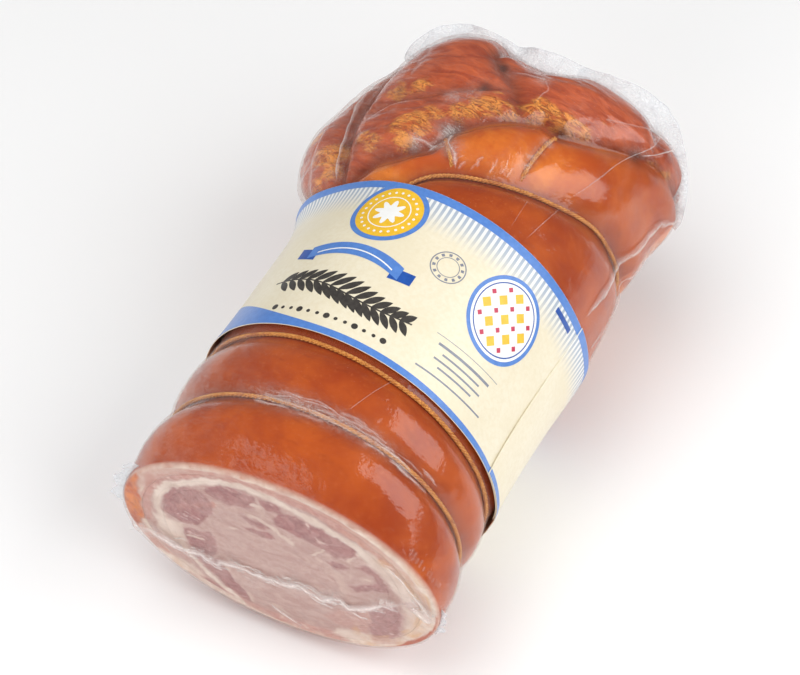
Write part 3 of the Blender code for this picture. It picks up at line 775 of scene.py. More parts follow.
def inside_outline(x, z, outline):
    """True inside an outline, by counting how often a line to the right crosses it."""
    crossed = np.zeros(x.shape, bool)
    corners = np.array(outline, float)
    for (x1, z1), (x2, z2) in zip(corners, np.roll(corners, -1, axis=0)):
        spans = (z1 > z) != (z2 > z)
        reach = (x2 - x1) * (z - z1) / (z2 - z1 + 1e-12) + x1
        crossed ^= spans & (x < reach)
    return crossed


def field_share(x, z, outline, soft):
    """1 inside an outline, 0 outside, easing over a soft edge: from the distance to the outline."""
    points = np.stack([x, z], axis=-1)
    ring = np.array(outline + outline[:1], float)
    away = distance_to_path(points, ring)
    signed = np.where(inside_outline(x, z, outline), away, -away)
    return ease(0.5 + signed / (2 * soft))


def face_masks(points):
    """Fields of the cut face at points: lean, pink, fat, yellow, marbling, rind and its flap, 0 to 1 each.

    The outlines and streaks are read at places moved by noise, so that their edges run unevenly."""
    x0, z0 = points[..., 0], points[..., 2]
    flat = np.stack([x0, 0 * x0, z0], axis=-1)
    x = x0 + 1.3 * fractal(flat, 7, 3) + 0.7 * noise(flat, 2.0, 5)
    z = z0 + 1.2 * fractal(flat, 7, 7) + 0.7 * noise(flat, 2.0, 9)
    moved = np.stack([x, z], axis=-1)
    fields = {}
    for key, table in (("lean", LEAN_FIELDS), ("pink", PINK_FIELDS), ("fat", FAT_FIELDS)):
        fields[key] = np.zeros(x.shape)
        for outline in table:
            soft = LEAN_SOFT if key == "lean" else FIELD_SOFT
            fields[key] = np.maximum(fields[key], field_share(x, z, outline, soft))
    lean = fields["lean"] * (0.72 + 0.28 * ease(0.5 + fractal(flat, 11, 15)))
    streaks = {}
    for key, table in (("pink", PINK_STREAKS), ("fat", FAT_STREAKS)):
        share = np.zeros(x.shape)
        for half_width, path in table:
            away = distance_to_path(moved, np.array(path, float))
            faint = 1.0 if half_width > FAINT_BELOW else 0.7 * ease(0.55 + noise(flat, 5, 25))
            share = np.maximum(share, faint * ease(1.5 - away / half_width))
        streaks[key] = share
    across = (x0 - FACE_X) / FACE_HALF_WIDTH
    up = (z0 - FACE_Z) / FACE_HALF_HEIGHT
    reach = np.hypot(across, up)
    depth = (1 - reach) * np.hypot(x0 - FACE_X, z0 - FACE_Z) / np.maximum(reach, 0.05)
    depth = depth + 0.7 * noise(flat, 7, 11)
    right = ease((across - 0.35) / 0.5)
    left = ease((-across - 0.55) / 0.3)
    rim_width = 2.1 + 2.1 * right - 0.6 * left
    rim = ease((rim_width - depth) / 1.2)
    fat = np.maximum(np.maximum(streaks["fat"], 0.85 * fields["fat"] * (1 - 0.6 * lean)), rim)
    outer = ease((9.5 - depth) / 3.0) * (1 - 0.5 * right)
    pink = np.maximum(streaks["pink"] * (0.7 + 0.3 * ease(0.5 + noise(flat, 5, 23))), 0.5 * fields["pink"])
    pink = np.maximum(pink, outer * (0.6 + 0.3 * ease((noise(flat, 8, 21) + 0.4) / 0.8)))
    yellow = np.zeros(x.shape)
    for spot_x, spot_z, radius in YELLOW_SPOTS:
        yellow = np.maximum(yellow, np.exp(-((np.hypot(x - spot_x, z - spot_z) / radius) ** 2)))
    yellow = 0.55 * yellow * ease((noise(flat, 4, 31) + 0.6) / 0.9)
    flap = field_share(x, z, FLAP, FLAP_SOFT)
    layered = np.stack([depth, 0 * depth, 3 * up], axis=-1)
    arcs = right * ease((rim_width + 10 - depth) / 4) * ridged(layered, 1.7, 33, 2.0)
    yellow = np.maximum(yellow, 0.8 * arcs * ease(0.6 + noise(flat, 6, 35)))
    corner = np.exp(-((x0 - 80) / 15) ** 2 - ((z0 - 40) / 15) ** 2)
    crust = np.maximum(ease((1.0 + 4.5 * corner - depth) / (0.6 + corner)), flap)
    return {"lean": lean * (1 - fat), "pink": pink * (1 - 0.7 * lean), "fat": fat, "yellow": yellow,
            "marble": np.clip(lean + pink, 0, 1), "rind": crust,
            "flap": flap * ease(0.5 + 0.9 * fractal(flat, 6, 37))}


def face_relief(points):
    """How far the cut face stands out at its points: soft waves."""
    flat = points * np.array([1.0, 0.0, 1.0])
    return 0.35 * fractal(flat, 16, 41) + 0.12 * noise(flat, 3, 43)


def on_cut(points):
    """The points moved out of the cut by its relief."""
    points = points.copy()
    points[..., 1] -= face_relief(points)
    return points


def crag_lines(smooth, sharp):
    """Sharp lines between the crags of the fold: crests of a noise stretched along its strands."""
    return ridged(smooth * STRANDS_LIE, 19, 61, sharp)


def rind_relief(angle, row, smooth, fold):
    """Fine relief: puckers beside the ties, soft waves on the rind, and crags and strands on the fold."""
    beside = sum(np.exp(-np.abs(row - centre) / 8.0) for centre, _ in TIES.values())
    around = np.stack([np.cos(angle) * 80, 0 * angle, np.sin(angle) * 80], axis=-1)
    pucker = 0.45 * beside * noise(around + smooth * np.array([0.0, 0.12, 0.0]), 5.5, 51)
    waves = 0.5 * fractal(smooth, 26, 53, 3)
    crags = 1.3 * fractal(smooth * STRANDS_LIE, 22, 57) - 0.8 * crag_lines(smooth, 4.0)
    crags = crags * (1 - 0.6 * spot_share(smooth, CALM_SPOTS))
    return (waves + pucker) * (1 - fold) + crags * fold


def spot_share(smooth, spots):
    """The nearest spot's exp(-(distance / radius)²), from spots of angle, distance along and radius."""
    share = np.zeros(smooth.shape[:-1])
    for angle, along, radius in spots:
        away = np.linalg.norm(smooth - on_roll([(angle, along)])[0], axis=-1)
        share = np.maximum(share, np.exp(-((away / radius) ** 2)))
    return share


def flake_share(smooth):
    """Where golden flakes lie: the share of their spots, broken up by noise."""
    broken = fractal(smooth * np.array([1.0, 2.2, 1.0]), 9, 71)
    return ease((spot_share(smooth, FLAKES) - 0.42 + 0.75 * broken) / 0.3)


def skin_sheet(angle, row):
    """Smooth point, outward direction, height of the lobes, height of creases and grooves, and fold share."""
    along = slanted(angle, row)
    smooth = plain_point(angle, along)
    pressed = np.minimum(creases(smooth), grooves(row))
    return smooth, outward(angle, along), lobes(smooth), pressed, fold_share(angle, along)


def make_rind():
    """The rind: angle by row over the skin, a rim on the cut face, and the cup that the layers fill."""
    angle, row = np.meshgrid(angles_round(RIND_AROUND), RIND_ROWS)
    smooth, normal, bulge, pressed, fold = skin_sheet(angle, row)
    relief = rind_relief(angle, row, smooth, fold)
    calm = np.exp(pressed / 2.5) * ease((row - CUT_Y) / 12)
    low = ease((smooth[..., 2] - 12) / 18)
    height = bulge + pressed + relief * (0.25 + 0.75 * calm) * (0.2 + 0.8 * low)
    skin = smooth + normal * height[..., None]
    skin[..., 2] = np.maximum(skin[..., 2], REST_HEIGHT)
    past_tie = ease((row - TIES["twine_ring_3"][0] - 1.0) / 3.0)
    # Painted shade: the rind darkened in the ties' grooves and the creases, along the cracks of the fold and
    # in its hollows
    shade = np.clip(-pressed / 9.0, 0, 1) ** 1.3 * (0.45 + 0.55 * fold)
    cracks = crag_lines(smooth, 5.0) * ease(0.5 + fractal(smooth, 14, 67))
    shade = shade + 0.3 * fold * cracks + 0.45 * spot_share(smooth, HOLLOWS) * ease((row - 66) / 6)
    shade = np.clip(shade, 0, 1)
    # Painted shade: the amber past the third tie fades out on the right side, below about 40 degrees round,
    # so that side reads darker
    golden = 0.1 + 0.9 * ease((np.degrees(angle) - 38) / 22)
    skin_values = {"amber": past_tie * (1 - fold) * golden, "fold": fold, "flake": flake_share(smooth) * fold,
                   "shade": shade}
    count = RIND_AROUND
    once = angles_round(count)
    edge = plain_point(once, CUT_Y)
    centre_x, centre_z, *_ = section(np.float64(CUT_Y))
    middle = np.array([centre_x, CUT_Y, centre_z])
    reach = edge - middle
    edge = edge - CUT_EDGE * reach / np.linalg.norm(reach, axis=-1, keepdims=True)
    cup, cup_pole = layer_rings("belly_lean", count)
    rim = [edge + (cup[0] - edge) * step / RIM_STEPS for step in range(RIM_STEPS)]
    rim = [on_cut(ring) if k else ring for k, ring in enumerate(rim)]
    cup[0] = on_cut(cup[0])
    end = plain_point(0.0, POLE - 1e-6)
    pole = end + np.array([0.0, lobes(end[None])[0], 0.0])
    rings = [*skin[::-1], *rim, *cup]
    points, faces = body_of_rings(pole, rings, cup_pole)
    face_part = np.concatenate([*rim, *cup, cup_pole[None]])
    masks = face_masks(face_part)
    values = {}
    flap = {"flake": 0.45 * masks["flap"], "fold": 0.8 * masks["flap"]}
    for key, grid in skin_values.items():
        start = [grid[-1].mean()]
        on_face = flap.get(key, np.zeros(len(face_part)))
        values[key] = np.concatenate([start, grid[::-1].ravel(), on_face])
    skin_count = 1 + skin.shape[0] * count
    skin_rim = np.zeros(skin_count)
    skin_rim[-count:] = 0.5
    values["rim"] = np.concatenate([skin_rim, 1 - masks["rind"]])
    for key in ("yellow", "pink"):
        share = masks[key] * (1 - masks["fat"]) if key == "pink" else masks[key]
        values[key] = np.concatenate([np.zeros(skin_count), share])
    make_piece("rind_skin", points, faces, rind_finish(), ["rolled_rind"], values)


def make_layer(name, piece, inner, rim_steps):
    """A layer of the cut: its outer side, its rim on the face in fine steps, and the cup of the next one."""
    outer, outer_pole = layer_rings(name, FACE_AROUND, 0.02)
    cup, cup_pole = layer_rings(inner, FACE_AROUND)
    rim = [on_cut(outer[0] + (cup[0] - outer[0]) * step / rim_steps) for step in range(rim_steps + 1)]
    points, faces = body_of_rings(outer_pole, [*outer[:0:-1], *rim, *cup[1:]], cup_pole)
    make_piece(piece, points, faces, cut_finish(piece), [name], face_masks(points))


def make_loin(piece):
    """The loin: its outer side and its face, rings drawn in to the middle, which stand out a little."""
    outer, outer_pole = layer_rings("loin_core", FACE_AROUND, 0.02)
    middle = outer[0].mean(axis=0)
    shares = np.linspace(1, 0, LOIN_RINGS)[1:-1]
    proud = LOIN_PROUD * ease((1 - shares) / 0.3)
    face = [on_cut(outer[0])]
    face += [on_cut(middle + (outer[0] - middle) * share - np.array([0.0, out, 0.0]))
             for share, out in zip(shares, proud)]
    centre = on_cut(middle[None] - np.array([[0.0, LOIN_PROUD, 0.0]]))[0]
    points, faces = body_of_rings(outer_pole, [*outer[:0:-1], *face], centre)
    make_piece(piece, points, faces, cut_finish(piece), ["loin_core"], face_masks(points))


def strand(path, normals, phase, turns, closed):
    """One strand of a twisted twine: a circle carried along a path that winds round the twine's own line."""
    ahead = np.gradient(path, axis=0)
    if closed:
        ahead = np.roll(path, -1, axis=0) - np.roll(path, 1, axis=0)
    ahead = unit(ahead)
    side = unit(np.cross(ahead, normals))
    up = np.cross(side, ahead)
    wind = np.linspace(0, 2 * math.pi * turns, len(path), endpoint=not closed) + phase
    centre = path + STRAND_OFFSET * (np.cos(wind)[:, None] * side + np.sin(wind)[:, None] * up)
    turn = angles_round(STRAND_SIDES)
    ring = np.cos(turn)[:, None] * side[:, None, :] + np.sin(turn)[:, None] * up[:, None, :]
    return (centre[:, None, :] + STRAND_RADIUS * ring).reshape(-1, 3)


def make_twine(name, node, path, normals, closed):
    """Three strands wound round a path, as one piece."""
    length = np.linalg.norm(np.diff(path, axis=0), axis=-1).sum()
    turns = round(length / TWINE_PITCH)
    points = []
    faces = []
    caps = []
    for k in range(STRANDS):
        grid = strand(path, normals, k * 2 * math.pi / STRANDS, turns, closed)
        first = sum(len(part) for part in points)
        faces.append(grid_faces(len(path), STRAND_SIDES, wrap_rows=closed, wrap_columns=True, first=first))
        points.append(grid)
        if not closed:
            last = first + (len(path) - 1) * STRAND_SIDES
            ends = [grid[:STRAND_SIDES].mean(axis=0), grid[-STRAND_SIDES:].mean(axis=0)]
            points.append(np.array(ends))
            caps += [fan_faces(first + len(grid), first, STRAND_SIDES, True),
                     fan_faces(first + len(grid) + 1, last, STRAND_SIDES)]
    faces = [np.concatenate(faces)] + ([np.concatenate(caps)] if caps else [])
    make_piece(name, np.concatenate(points), faces, TWINE, [node])


def make_ties():
    """The three rings of twine at the bottom of their grooves, a little uneven."""
    angle = angles_round(TIE_STEPS)
    for node, (row, _) in TIES.items():
        rows = row + 0.5 * noise(np.stack([np.cos(angle), np.sin(angle), 0 * angle + row], axis=-1), 0.3, 81)
        smooth, normal, bulge, pressed, _ = skin_sheet(angle, rows)
        path = smooth + normal * (bulge + pressed + TWINE_RADIUS + TWINE_LIFT)[:, None]
        path[:, 2] = np.maximum(path[:, 2], TWINE_LOW)
        make_twine(node.replace("ring", "tie"), node, path, normal, True)


def make_links():
    """The two short strands from the third tie to the folded edge, laid in their creases."""
    for node, pairs in LINKS.items():
        pairs = np.array(pairs)
        share = np.linspace(0, len(pairs) - 1, LINK_STEPS)
        angle = np.radians(follow(range(len(pairs)), pairs[:, 0], share))
        along = follow(range(len(pairs)), pairs[:, 1], share)
        smooth, normal, bulge, pressed, _ = skin_sheet(angle, row_at(angle, along))
        tucked = LINK_TUCK * (1 - ease(np.minimum(share, share[-1] - share) / 0.35))
        path = smooth + normal * (bulge + pressed + TWINE_RADIUS + LINK_LIFT - tucked)[:, None]
        make_twine(node.replace("link", "strand"), node, path, normal, False)


def band_side(angle, along, lift, low=0.0):
    """A surface over the roll's crests and lobes without its grooves, lifted a little."""
    smooth = plain_point(angle, along)
    height = np.maximum(lobes(smooth), 0) + lift
    point = smooth + outward(angle, along) * height[..., None]
    point[..., 2] = np.maximum(point[..., 2], low)
    return point


# Distance round the roll under the band, for print at its real size: x runs right from the top, y along
ARC_ANGLE = np.radians(np.linspace(-180, 360, 2161))
ARC_POINTS = plain_point(ARC_ANGLE, -10.0)
ARC_LENGTH = lengths_along(ARC_POINTS)
ARC_TOP = np.interp(math.pi / 2, ARC_ANGLE, ARC_LENGTH)


def label_x(degrees):
    """Distance on the label, to the right of the roll's top, of an angle."""
    return ARC_TOP - np.interp(np.radians(degrees), ARC_ANGLE, ARC_LENGTH)


def label_angle(x):
    """Angle round the roll of a distance on the label."""
    return np.interp(ARC_TOP - x, ARC_LENGTH, ARC_ANGLE)


def sheet_faces(rows, columns):
    """Faces of a thin closed sheet between two grids of points, front first."""
    front = grid_faces(rows, columns)
    back = grid_faces(rows, columns, first=rows * columns)[:, ::-1]
    i = np.arange(rows)
    j = np.arange(columns)
    border = np.concatenate([j[:-1], i[:-1] * columns + columns - 1, (rows - 1) * columns + j[:0:-1],
                             i[:0:-1] * columns])
    after = np.roll(border, -1)
    depth = rows * columns
    sides = np.stack([border, border + depth, after + depth, after], axis=-1)
    return np.concatenate([front, back, sides])


def band_lift(turn):
    """How far the band stands off: its last stretch steps up over its first."""
    start = 2 * math.pi - BAND_STEP
    over = ease((turn - start) / BAND_STEP)
    return BAND_LIFT + over * (BAND_THICKNESS + BAND_STEP_GAP)


def band_waves(angle, along):
    """Small soft waves of the paper, by noise over its length and width."""
    return 0.18 * noise(np.stack([angle * 80, along, 0 * along], axis=-1), 22, 91)


def make_band():
    """The paper band: angle by distance along, once round with its end glued over its start, both sides."""
    turns = np.linspace(0, 2 * math.pi + math.radians(BAND_OVERLAP), BAND_STEPS_ROUND)
    rows = np.linspace(BAND_NEAR, BAND_FAR, BAND_STEPS_ALONG)
    angle, along = np.meshgrid(math.radians(BAND_SEAM) + turns, rows, indexing="ij")
    lift = band_lift(turns)[:, None] + band_waves(angle, along)
    inner = band_side(angle, along, lift, BAND_THICKNESS)
    outer = band_side(angle, along, lift + BAND_THICKNESS)
    x = ARC_TOP - np.interp((angle + math.pi) % (2 * math.pi) - math.pi, ARC_ANGLE, ARC_LENGTH)
    uv = np.stack([x, along], axis=-1)
    points = np.concatenate([outer.reshape(-1, 3), inner.reshape(-1, 3)])
    faces = sheet_faces(*angle.shape)
    make_piece("band_paper", points, faces, PAPER, ["paper_band"],
               uv=np.concatenate([uv.reshape(-1, 2), uv.reshape(-1, 2)]))


def band_height(angle, along):
    """Lift of the band's outer side at a place of the label, with its small waves."""
    turn = (angle - math.radians(BAND_SEAM)) % (2 * math.pi)
    over = turn < math.radians(BAND_OVERLAP)
    real = np.where(over, turn + 2 * math.pi, turn)
    return band_lift(real) + band_waves(math.radians(BAND_SEAM) + real, along) + BAND_THICKNESS


def printed(name, grids, material, level=1):
    """A field of print: grids of places on the label, laid a hair above the paper, level by level."""
    points = []
    faces = []
    first = 0
    for grid in grids:
        x, y = grid[..., 0], grid[..., 1]
        angle = label_angle(x)
        lift = band_height(angle, y) + LEVEL_STEP * level
        points.append(band_side(angle, y, lift).reshape(-1, 3))
        faces.append(grid_faces(*x.shape, first=first))
        first += x.size
    points = np.concatenate(points)
    faces = np.concatenate(faces)
    a, b, c, d = (points[faces[:, k]] for k in range(4))
    normal = np.cross(c - a, d - b).sum(axis=0)
    middle = points.mean(axis=0) - np.array([-2.0, points[:, 1].mean(), 78.0])
    if normal @ (middle * np.array([1.0, 0.0, 1.0])) < 0:
        faces = faces[:, ::-1]
    make_piece(name, points, faces, material, closed=False)


def strip(x, low, high, rows=6):
    """A strip of the label between two curves over x."""
    x = np.asarray(x, float)
    share = np.linspace(0, 1, rows)[:, None]
    low, high = (np.broadcast_to(value, x.shape) for value in (low, high))
    return np.stack([np.broadcast_to(x, (rows, len(x))), low + (high - low) * share], axis=-1)


def disc(x, y, inner, outer, start=0.0, end=360.0, petals=0, depth=0.0, steps=96, squash=1.0):
    """A ring, or part of one: radius by angle, with petals as a cosine on its outer radius."""
    turn = np.radians(np.linspace(start, end, steps))
    share = np.linspace(0, 1, 6)[:, None]
    rim = outer * (1 + depth * np.cos(petals * turn))
    radius = inner + (rim - inner) * share
    return np.stack([x + radius * np.sin(turn), y + radius * np.cos(turn) * squash], axis=-1)


def bar(x, y, width, height, tilt=0.0):
    """A short bar, its middle at x and y, rising by the tilt for each unit to the right."""
    across = np.linspace(-width / 2, width / 2, 12)
    return strip(x + across, y - height / 2 + across * tilt, y + height / 2 + across * tilt, 3)


def make_print():
    """The band's print: blue borders, a gold seal over a blue ribbon, a sprig, an oval badge, a stamp and
    bars."""
    ink = {key: ink_finish("ink_" + key, srgb(*light), srgb(*dark)) for key, light, dark in (
        ("blue", (94, 141, 214), (84, 130, 204)), ("deep_blue", (40, 90, 176), (34, 78, 160)),
        ("gold", (248, 200, 60), (240, 188, 48)), ("white", (252, 252, 250), (246, 246, 244)),
        ("dark", (74, 70, 66), (58, 54, 52)), ("grey", (142, 146, 158), (128, 132, 146)),
        ("red", (206, 60, 92), (190, 48, 80)))}
    make_borders(ink)
    make_seal(ink)
    make_sprig(ink)
    make_badge(ink)
    make_stamp(ink)
    make_lines(ink)


def make_borders(ink):
    """A narrow border at the far edge, and one at the near edge that swells to the left of the top."""
    round_it = np.linspace(label_x(298), label_x(-60), 460)
    borders = [strip(round_it, BAND_FAR - 5.0, BAND_FAR - 0.15)]
    swoosh = 4.0 + 21.0 * ease((label_x(96) - round_it) / (label_x(96) - label_x(170))) ** 1.4
    swoosh = 4.0 + (swoosh - 4.0) * ease((round_it - label_x(262)) / (label_x(200) - label_x(262)))
    borders.append(strip(round_it, BAND_NEAR + 0.15, BAND_NEAR + swoosh))
    printed("print_borders", borders, ink["blue"])


def make_seal(ink):
    """A gold seal in a blue ring, with a petalled star, a ring and dots, over a ribbon bent downwards."""
    seal_x, seal_y = label_x(SEAL_ANGLE), 19.0
    printed("print_seal_ring", [disc(seal_x, seal_y, 0.3, 20.0)], ink["blue"], 2)
    printed("print_seal", [disc(seal_x, seal_y, 0.2, 17.3)], ink["gold"], 3)
    star = [disc(seal_x, seal_y, 0.1, 6.6, petals=8, depth=0.28)]
    star += [disc(seal_x, seal_y, 10.4, 11.0)]
    star += [disc(seal_x + 14 * math.sin(t), seal_y + 14 * math.cos(t), 0.1, 0.75, steps=16)
             for t in angles_round(24)]
    printed("print_seal_star", star, ink["white"], 4)
    span = np.linspace(-27, 27, 60)
    arch = -8.0 - 5.5 * (span / 27) ** 2 + 6
    middle = seal_x - 1.0
    printed("print_ribbon", [strip(middle + span, seal_y - 26 + arch - 4, seal_y - 26 + arch + 4)],
            ink["blue"], 3)
    tails = [strip(middle + side * np.linspace(22, 34, 10),
                   seal_y - 38.5 + 1.2 * np.linspace(0, 1, 10), seal_y - 31.5 + 1.2 * np.linspace(0, 1, 10))
             for side in (-1, 1)]
    printed("print_ribbon_tails", tails, ink["deep_blue"], 2)
    printed("print_ribbon_line", [strip(middle + span * 0.82, seal_y - 26 + arch * 0.93 - 0.7,
                                        seal_y - 26 + arch * 0.93 + 0.1)], ink["white"], 4)


def make_stamp(ink):
    """A grey stamp: two rings with a ring of short bars between them."""
    stamp_x, stamp_y = label_x(STAMP_ANGLE), 3.0
    stamp = [disc(stamp_x, stamp_y, 8.6, 9.2), disc(stamp_x, stamp_y, 5.4, 5.8)]
    stamp += [disc(stamp_x, stamp_y, 6.4, 8.0, k * 30 + 4, k * 30 + 16, steps=6) for k in range(12)]
    printed("print_stamp", stamp, ink["grey"])


def make_lines(ink):
    """Grey bars below the badge, each at its height with its width and thickness, and a blue one above it."""
    lines = [(0.0, 40.0, 0.35), (-4.5, 33.0, 1.5), (-8.7, 24.0, 1.1), (-12.6, 30.0, 1.1), (-16.3, 22.0, 1.1),
             (-21.5, 42.0, 1.0)]
    middle = label_x(LINES_ANGLE) - 1.0
    printed("print_lines", [bar(middle, -29.0 + y, width, tall, 0.10) for y, width, tall in lines],
            ink["grey"])
    printed("print_marker", [bar(label_x(MARKER_ANGLE), BAND_FAR - 9.2, 15.0, 3.2)], ink["deep_blue"], 2)


def make_sprig(ink):
    """A sprig of herb in the band's middle: a wavy stem with pairs of leaves, each a pointed oval."""
    left, right = (label_x(degrees) for degrees in SPRIG_ANGLES)
    along = np.linspace(0, 1, 90)
    stem_x = left + (right - left) * along
    stem_y = -36.0 + 2.6 * np.sin(along * 2 * math.pi)
    grids = [strip(stem_x, stem_y - 0.45, stem_y + 0.45, 3)]
    for k in range(15):
        share = (k + 0.8) / 16
        x = left + (right - left) * share
        y = -36.0 + 2.6 * math.sin(share * 2 * math.pi)
        length = 13.5 - 5.5 * abs(share - 0.45) * 2
        for side in (-1, 1):
            lean = math.radians(38) * side
            t = np.linspace(0, 1, 14)
            half = 1.9 * np.sin(math.pi * t) ** 0.8
            spine_x = x + length * t * math.cos(lean)
            spine_y = y + length * t * math.sin(lean) + 1.2 * side * t**2
            width = np.array([-1.0, 0.0, 1.0])[:, None] * half
            grids.append(np.stack([spine_x - width * math.sin(lean), spine_y + width * math.cos(lean)],
                                  axis=-1))
    printed("print_sprig", grids, ink["dark"])
    dots = [disc(left + 12 + k * 5.2, -52.5 + 0.02 * k, 0.05, 1.0 if k % 3 else 1.7, steps=16)
            for k in range(13)]
    printed("print_dots", dots, ink["dark"])


def lozenge(x, y, half_width, half_height):
    """A lozenge: a strip that is highest in its middle and runs to a point at each end."""
    across = np.linspace(-half_width, half_width, 9)
    reach = half_height * (1 - np.abs(across) / half_width) + 0.02
    return strip(x + across, y - reach, y + reach, 3)


def make_badge(ink):
    """A badge of plain ornament: a white upright oval edged in blue, filled with a lattice of lozenges, large
    gold ones and small red ones by turns."""
    x, y = label_x(BADGE_ANGLE), 1.0
    tall = 1.18
    across, up = 6.3, 7.5
    printed("print_badge_edge", [disc(x, y, 0.1, 20.8, squash=tall)], ink["blue"])
    printed("print_badge_ground", [disc(x, y, 0.1, 18.8, squash=tall)], ink["white"], 2)
    printed("print_badge_ring", [disc(x, y, 16.9, 17.5, squash=tall)], ink["deep_blue"], 3)
    places = [(i, j) for i in range(-2, 3) for j in range(-2, 3) if i * i + j * j < 6]
    gold = [lozenge(x + i * across, y + j * up, 3.0, 3.6) for i, j in places if (i + j) % 2 == 0]
    red = [lozenge(x + i * across, y + j * up, 1.5, 1.8) for i, j in places if (i + j) % 2]
    printed("print_badge_gold", gold, ink["gold"], 3)
    printed("print_badge_red", red, ink["red"], 3)


def film_height(angle, row, smooth, bulge, pressed):
    """Height of the film: it bridges the grooves and creases, and lies over the twine."""
    over_twine = pressed + 3.0 * sum(np.exp(-((np.abs(row - c) / 1.9) ** 4)) for c, _ in TIES.values())
    bridged = np.maximum(FILM_BRIDGE * pressed, np.minimum(over_twine, 0))
    for pairs in LINKS.values():
        away = distance_to_path(smooth, on_roll(pairs))
        bridged = np.maximum(bridged, pressed + 2.6 * np.exp(-((away / 2.0) ** 4)))
    fold = fold_share(angle, slanted(angle, row))
    tight = 0.5 * fractal(smooth, 26, 53, 3) * (1 - fold) * ease((row - CUT_Y) / 12)
    slack = fold * (0.8 + 0.5 * ridged(smooth * np.array([1.0, 0.4, 1.0]), 15, 101, 4.0))
    return bulge + bridged + tight * 0.8 + slack + FILM_CLEARANCE


def film_haze_and_painted_sheen(angle, row, smooth, pressed, fold):
    """Where the film is crumpled and milky: in the grooves, mostly on top, over the creases and at ridges,
    and down the left side, where the milk is a painted sheen.
    """
    degrees = (np.degrees(angle) + 180) % 360 - 180
    groove = np.exp(-((np.abs(row - TIES["twine_ring_1"][0]) / 5.0) ** 2))
    top = np.exp(-(((degrees - 84) / 26) ** 4))
    haze = groove * (0.10 + 0.45 * top)
    haze += 0.06 * np.exp(-((np.abs(row - TIES["twine_ring_3"][0]) / 3.5) ** 2))
    in_crease = np.clip(-pressed / 6, 0, 1) * ease((row - 48) / 8)
    in_crease = in_crease * (1 - np.exp(-(((row - TIES["twine_ring_3"][0]) / 8.0) ** 2)))
    haze += in_crease * (0.03 + 0.14 * fractal(smooth, 16, 111))
    haze += 0.6 * spot_share(smooth, MILKY) * ease((row - 52) / 8)
    haze += 0.05 * fold + 0.06 * ease((row - 60) / 5) * ridged(smooth * np.array([1.0, 0.5, 1.0]), 22, 113, 6)
    haze += 0.08 * np.exp(-((row + 132.5) / 1.2) ** 2)
    # Painted sheen: the film made milky down the left side, near the cut and on the folded end
    left = np.exp(-(((degrees - 150) / 30) ** 2)) * ease((-40 - row) / 20)
    far_left_painted_sheen = np.exp(-(((degrees - 160) / 24) ** 2)) * ease((row - 50) / 15)
    return np.clip(haze + 0.25 * left + 0.22 * far_left_painted_sheen, 0, 1)


def make_film():
    """The shrink film: angle by row over the roll, and rings over the cut face that meet in the middle."""
    rows = np.concatenate([np.arange(-133.2, -64.0, 1.5), np.arange(-62.0, 38.0, 8.0),
                           np.arange(40.0, 222.5, 1.35)])
    once = angles_round(FILM_AROUND)
    angle, row = np.meshgrid(once, rows)
    smooth, normal, bulge, pressed, fold = skin_sheet(angle, row)
    height = film_height(angle, row, smooth, bulge, pressed)
    skin = smooth + normal * height[..., None]
    skin[..., 2] = np.maximum(skin[..., 2], 0.35)
    haze = film_haze_and_painted_sheen(angle, row, smooth, pressed, fold)
    middle = np.array([FACE_X, CUT_Y, FACE_Z])
    outer = plain_point(once, CUT_Y) - middle
    face = []
    for share in np.linspace(1.0, 0.02, FILM_FACE_RINGS):
        ring = middle + outer * share
        at_edge = 0.9 * ease((share - 0.97) / 0.03)
        ring[:, 1] -= FILM_OFF_CUT + face_relief(ring) - at_edge + film_crumple(ring)
        face.append(ring)
    centre = middle - np.array([0.0, 1.4, 0.0])
    pole = plain_point(0.0, POLE - 1e-6) + np.array([0.0, 1.2, 0.0])
    points, faces = body_of_rings(pole, [*skin[::-1], *face], centre)
    face_haze = cut_haze(np.concatenate(face))
    values = np.concatenate([[0.2], haze[::-1].ravel(), face_haze, [0.1]])
    clear = film_finish("film", 0.0, 0.8, 150, 0.12, srgb(250, 238, 232))
    make_piece("shrink_film", points, faces, clear, values={"haze": values})


# The crumpled seam of the film across the cut face, and two lesser creases, in X and Z
CUT_SEAM = ((-79, 48), (-73, 52), (-68, 55), (-62, 52), (-54, 49), (-46, 48), (-38, 50), (-35, 47),
            (-30, 46), (-28, 50), (-20, 52), (-10, 50), (0, 51), (8, 52), (15, 56), (20, 53), (28, 52),
            (34, 57), (38, 58), (42, 53), (50, 58), (56, 63), (62, 68), (68, 73), (73, 77))
CUT_CREASES = (((62, 101), (70, 94), (76, 85), (81, 77), (86, 69)), ((76, 75), (80, 71), (85, 67)),
               ((-2, 28), (6, 23), (14, 18)))
CUT_MILKY = ((82, 71, 6), (80, 73, 4), (12, 55, 5), (-33, 48, 4), (-70, 53, 5), (-10, 44, 6), (64, 70, 4))


def film_crumple(points):
    """How far the film stands off the cut face along its crumpled seam."""
    flat = points[:, [0, 2]]
    away = distance_to_path(flat, np.array(CUT_SEAM, float))
    seam = 0.7 * np.exp(-((away / 3.0) ** 2)) + 0.4 * np.exp(-((away / 7.0) ** 2))
    return seam * (0.7 + 0.5 * noise(points * np.array([1.0, 0.0, 1.0]), 6, 121))


def cut_haze(points):
    """Milky patches of the film over the cut face: beside its seam and creases."""
    flat = points[:, [0, 2]]
    away = distance_to_path(flat, np.array(CUT_SEAM, float))
    haze = 0.9 * np.exp(-((away / 3.6) ** 2)) + 0.25 * np.exp(-((away / 9.0) ** 2))
    for x, z, radius in CUT_MILKY:
        haze += 0.8 * np.exp(-((np.hypot(flat[:, 0] - x, flat[:, 1] - z) / radius) ** 2))
    for path in CUT_CREASES:
        haze += 0.5 * np.exp(-((distance_to_path(flat, np.array(path, float)) / 2.4) ** 2))
    return np.clip(haze * (0.55 + 0.6 * noise(points * np.array([1.0, 0.0, 1.0]), 7, 123)) + 0.02, 0, 1)


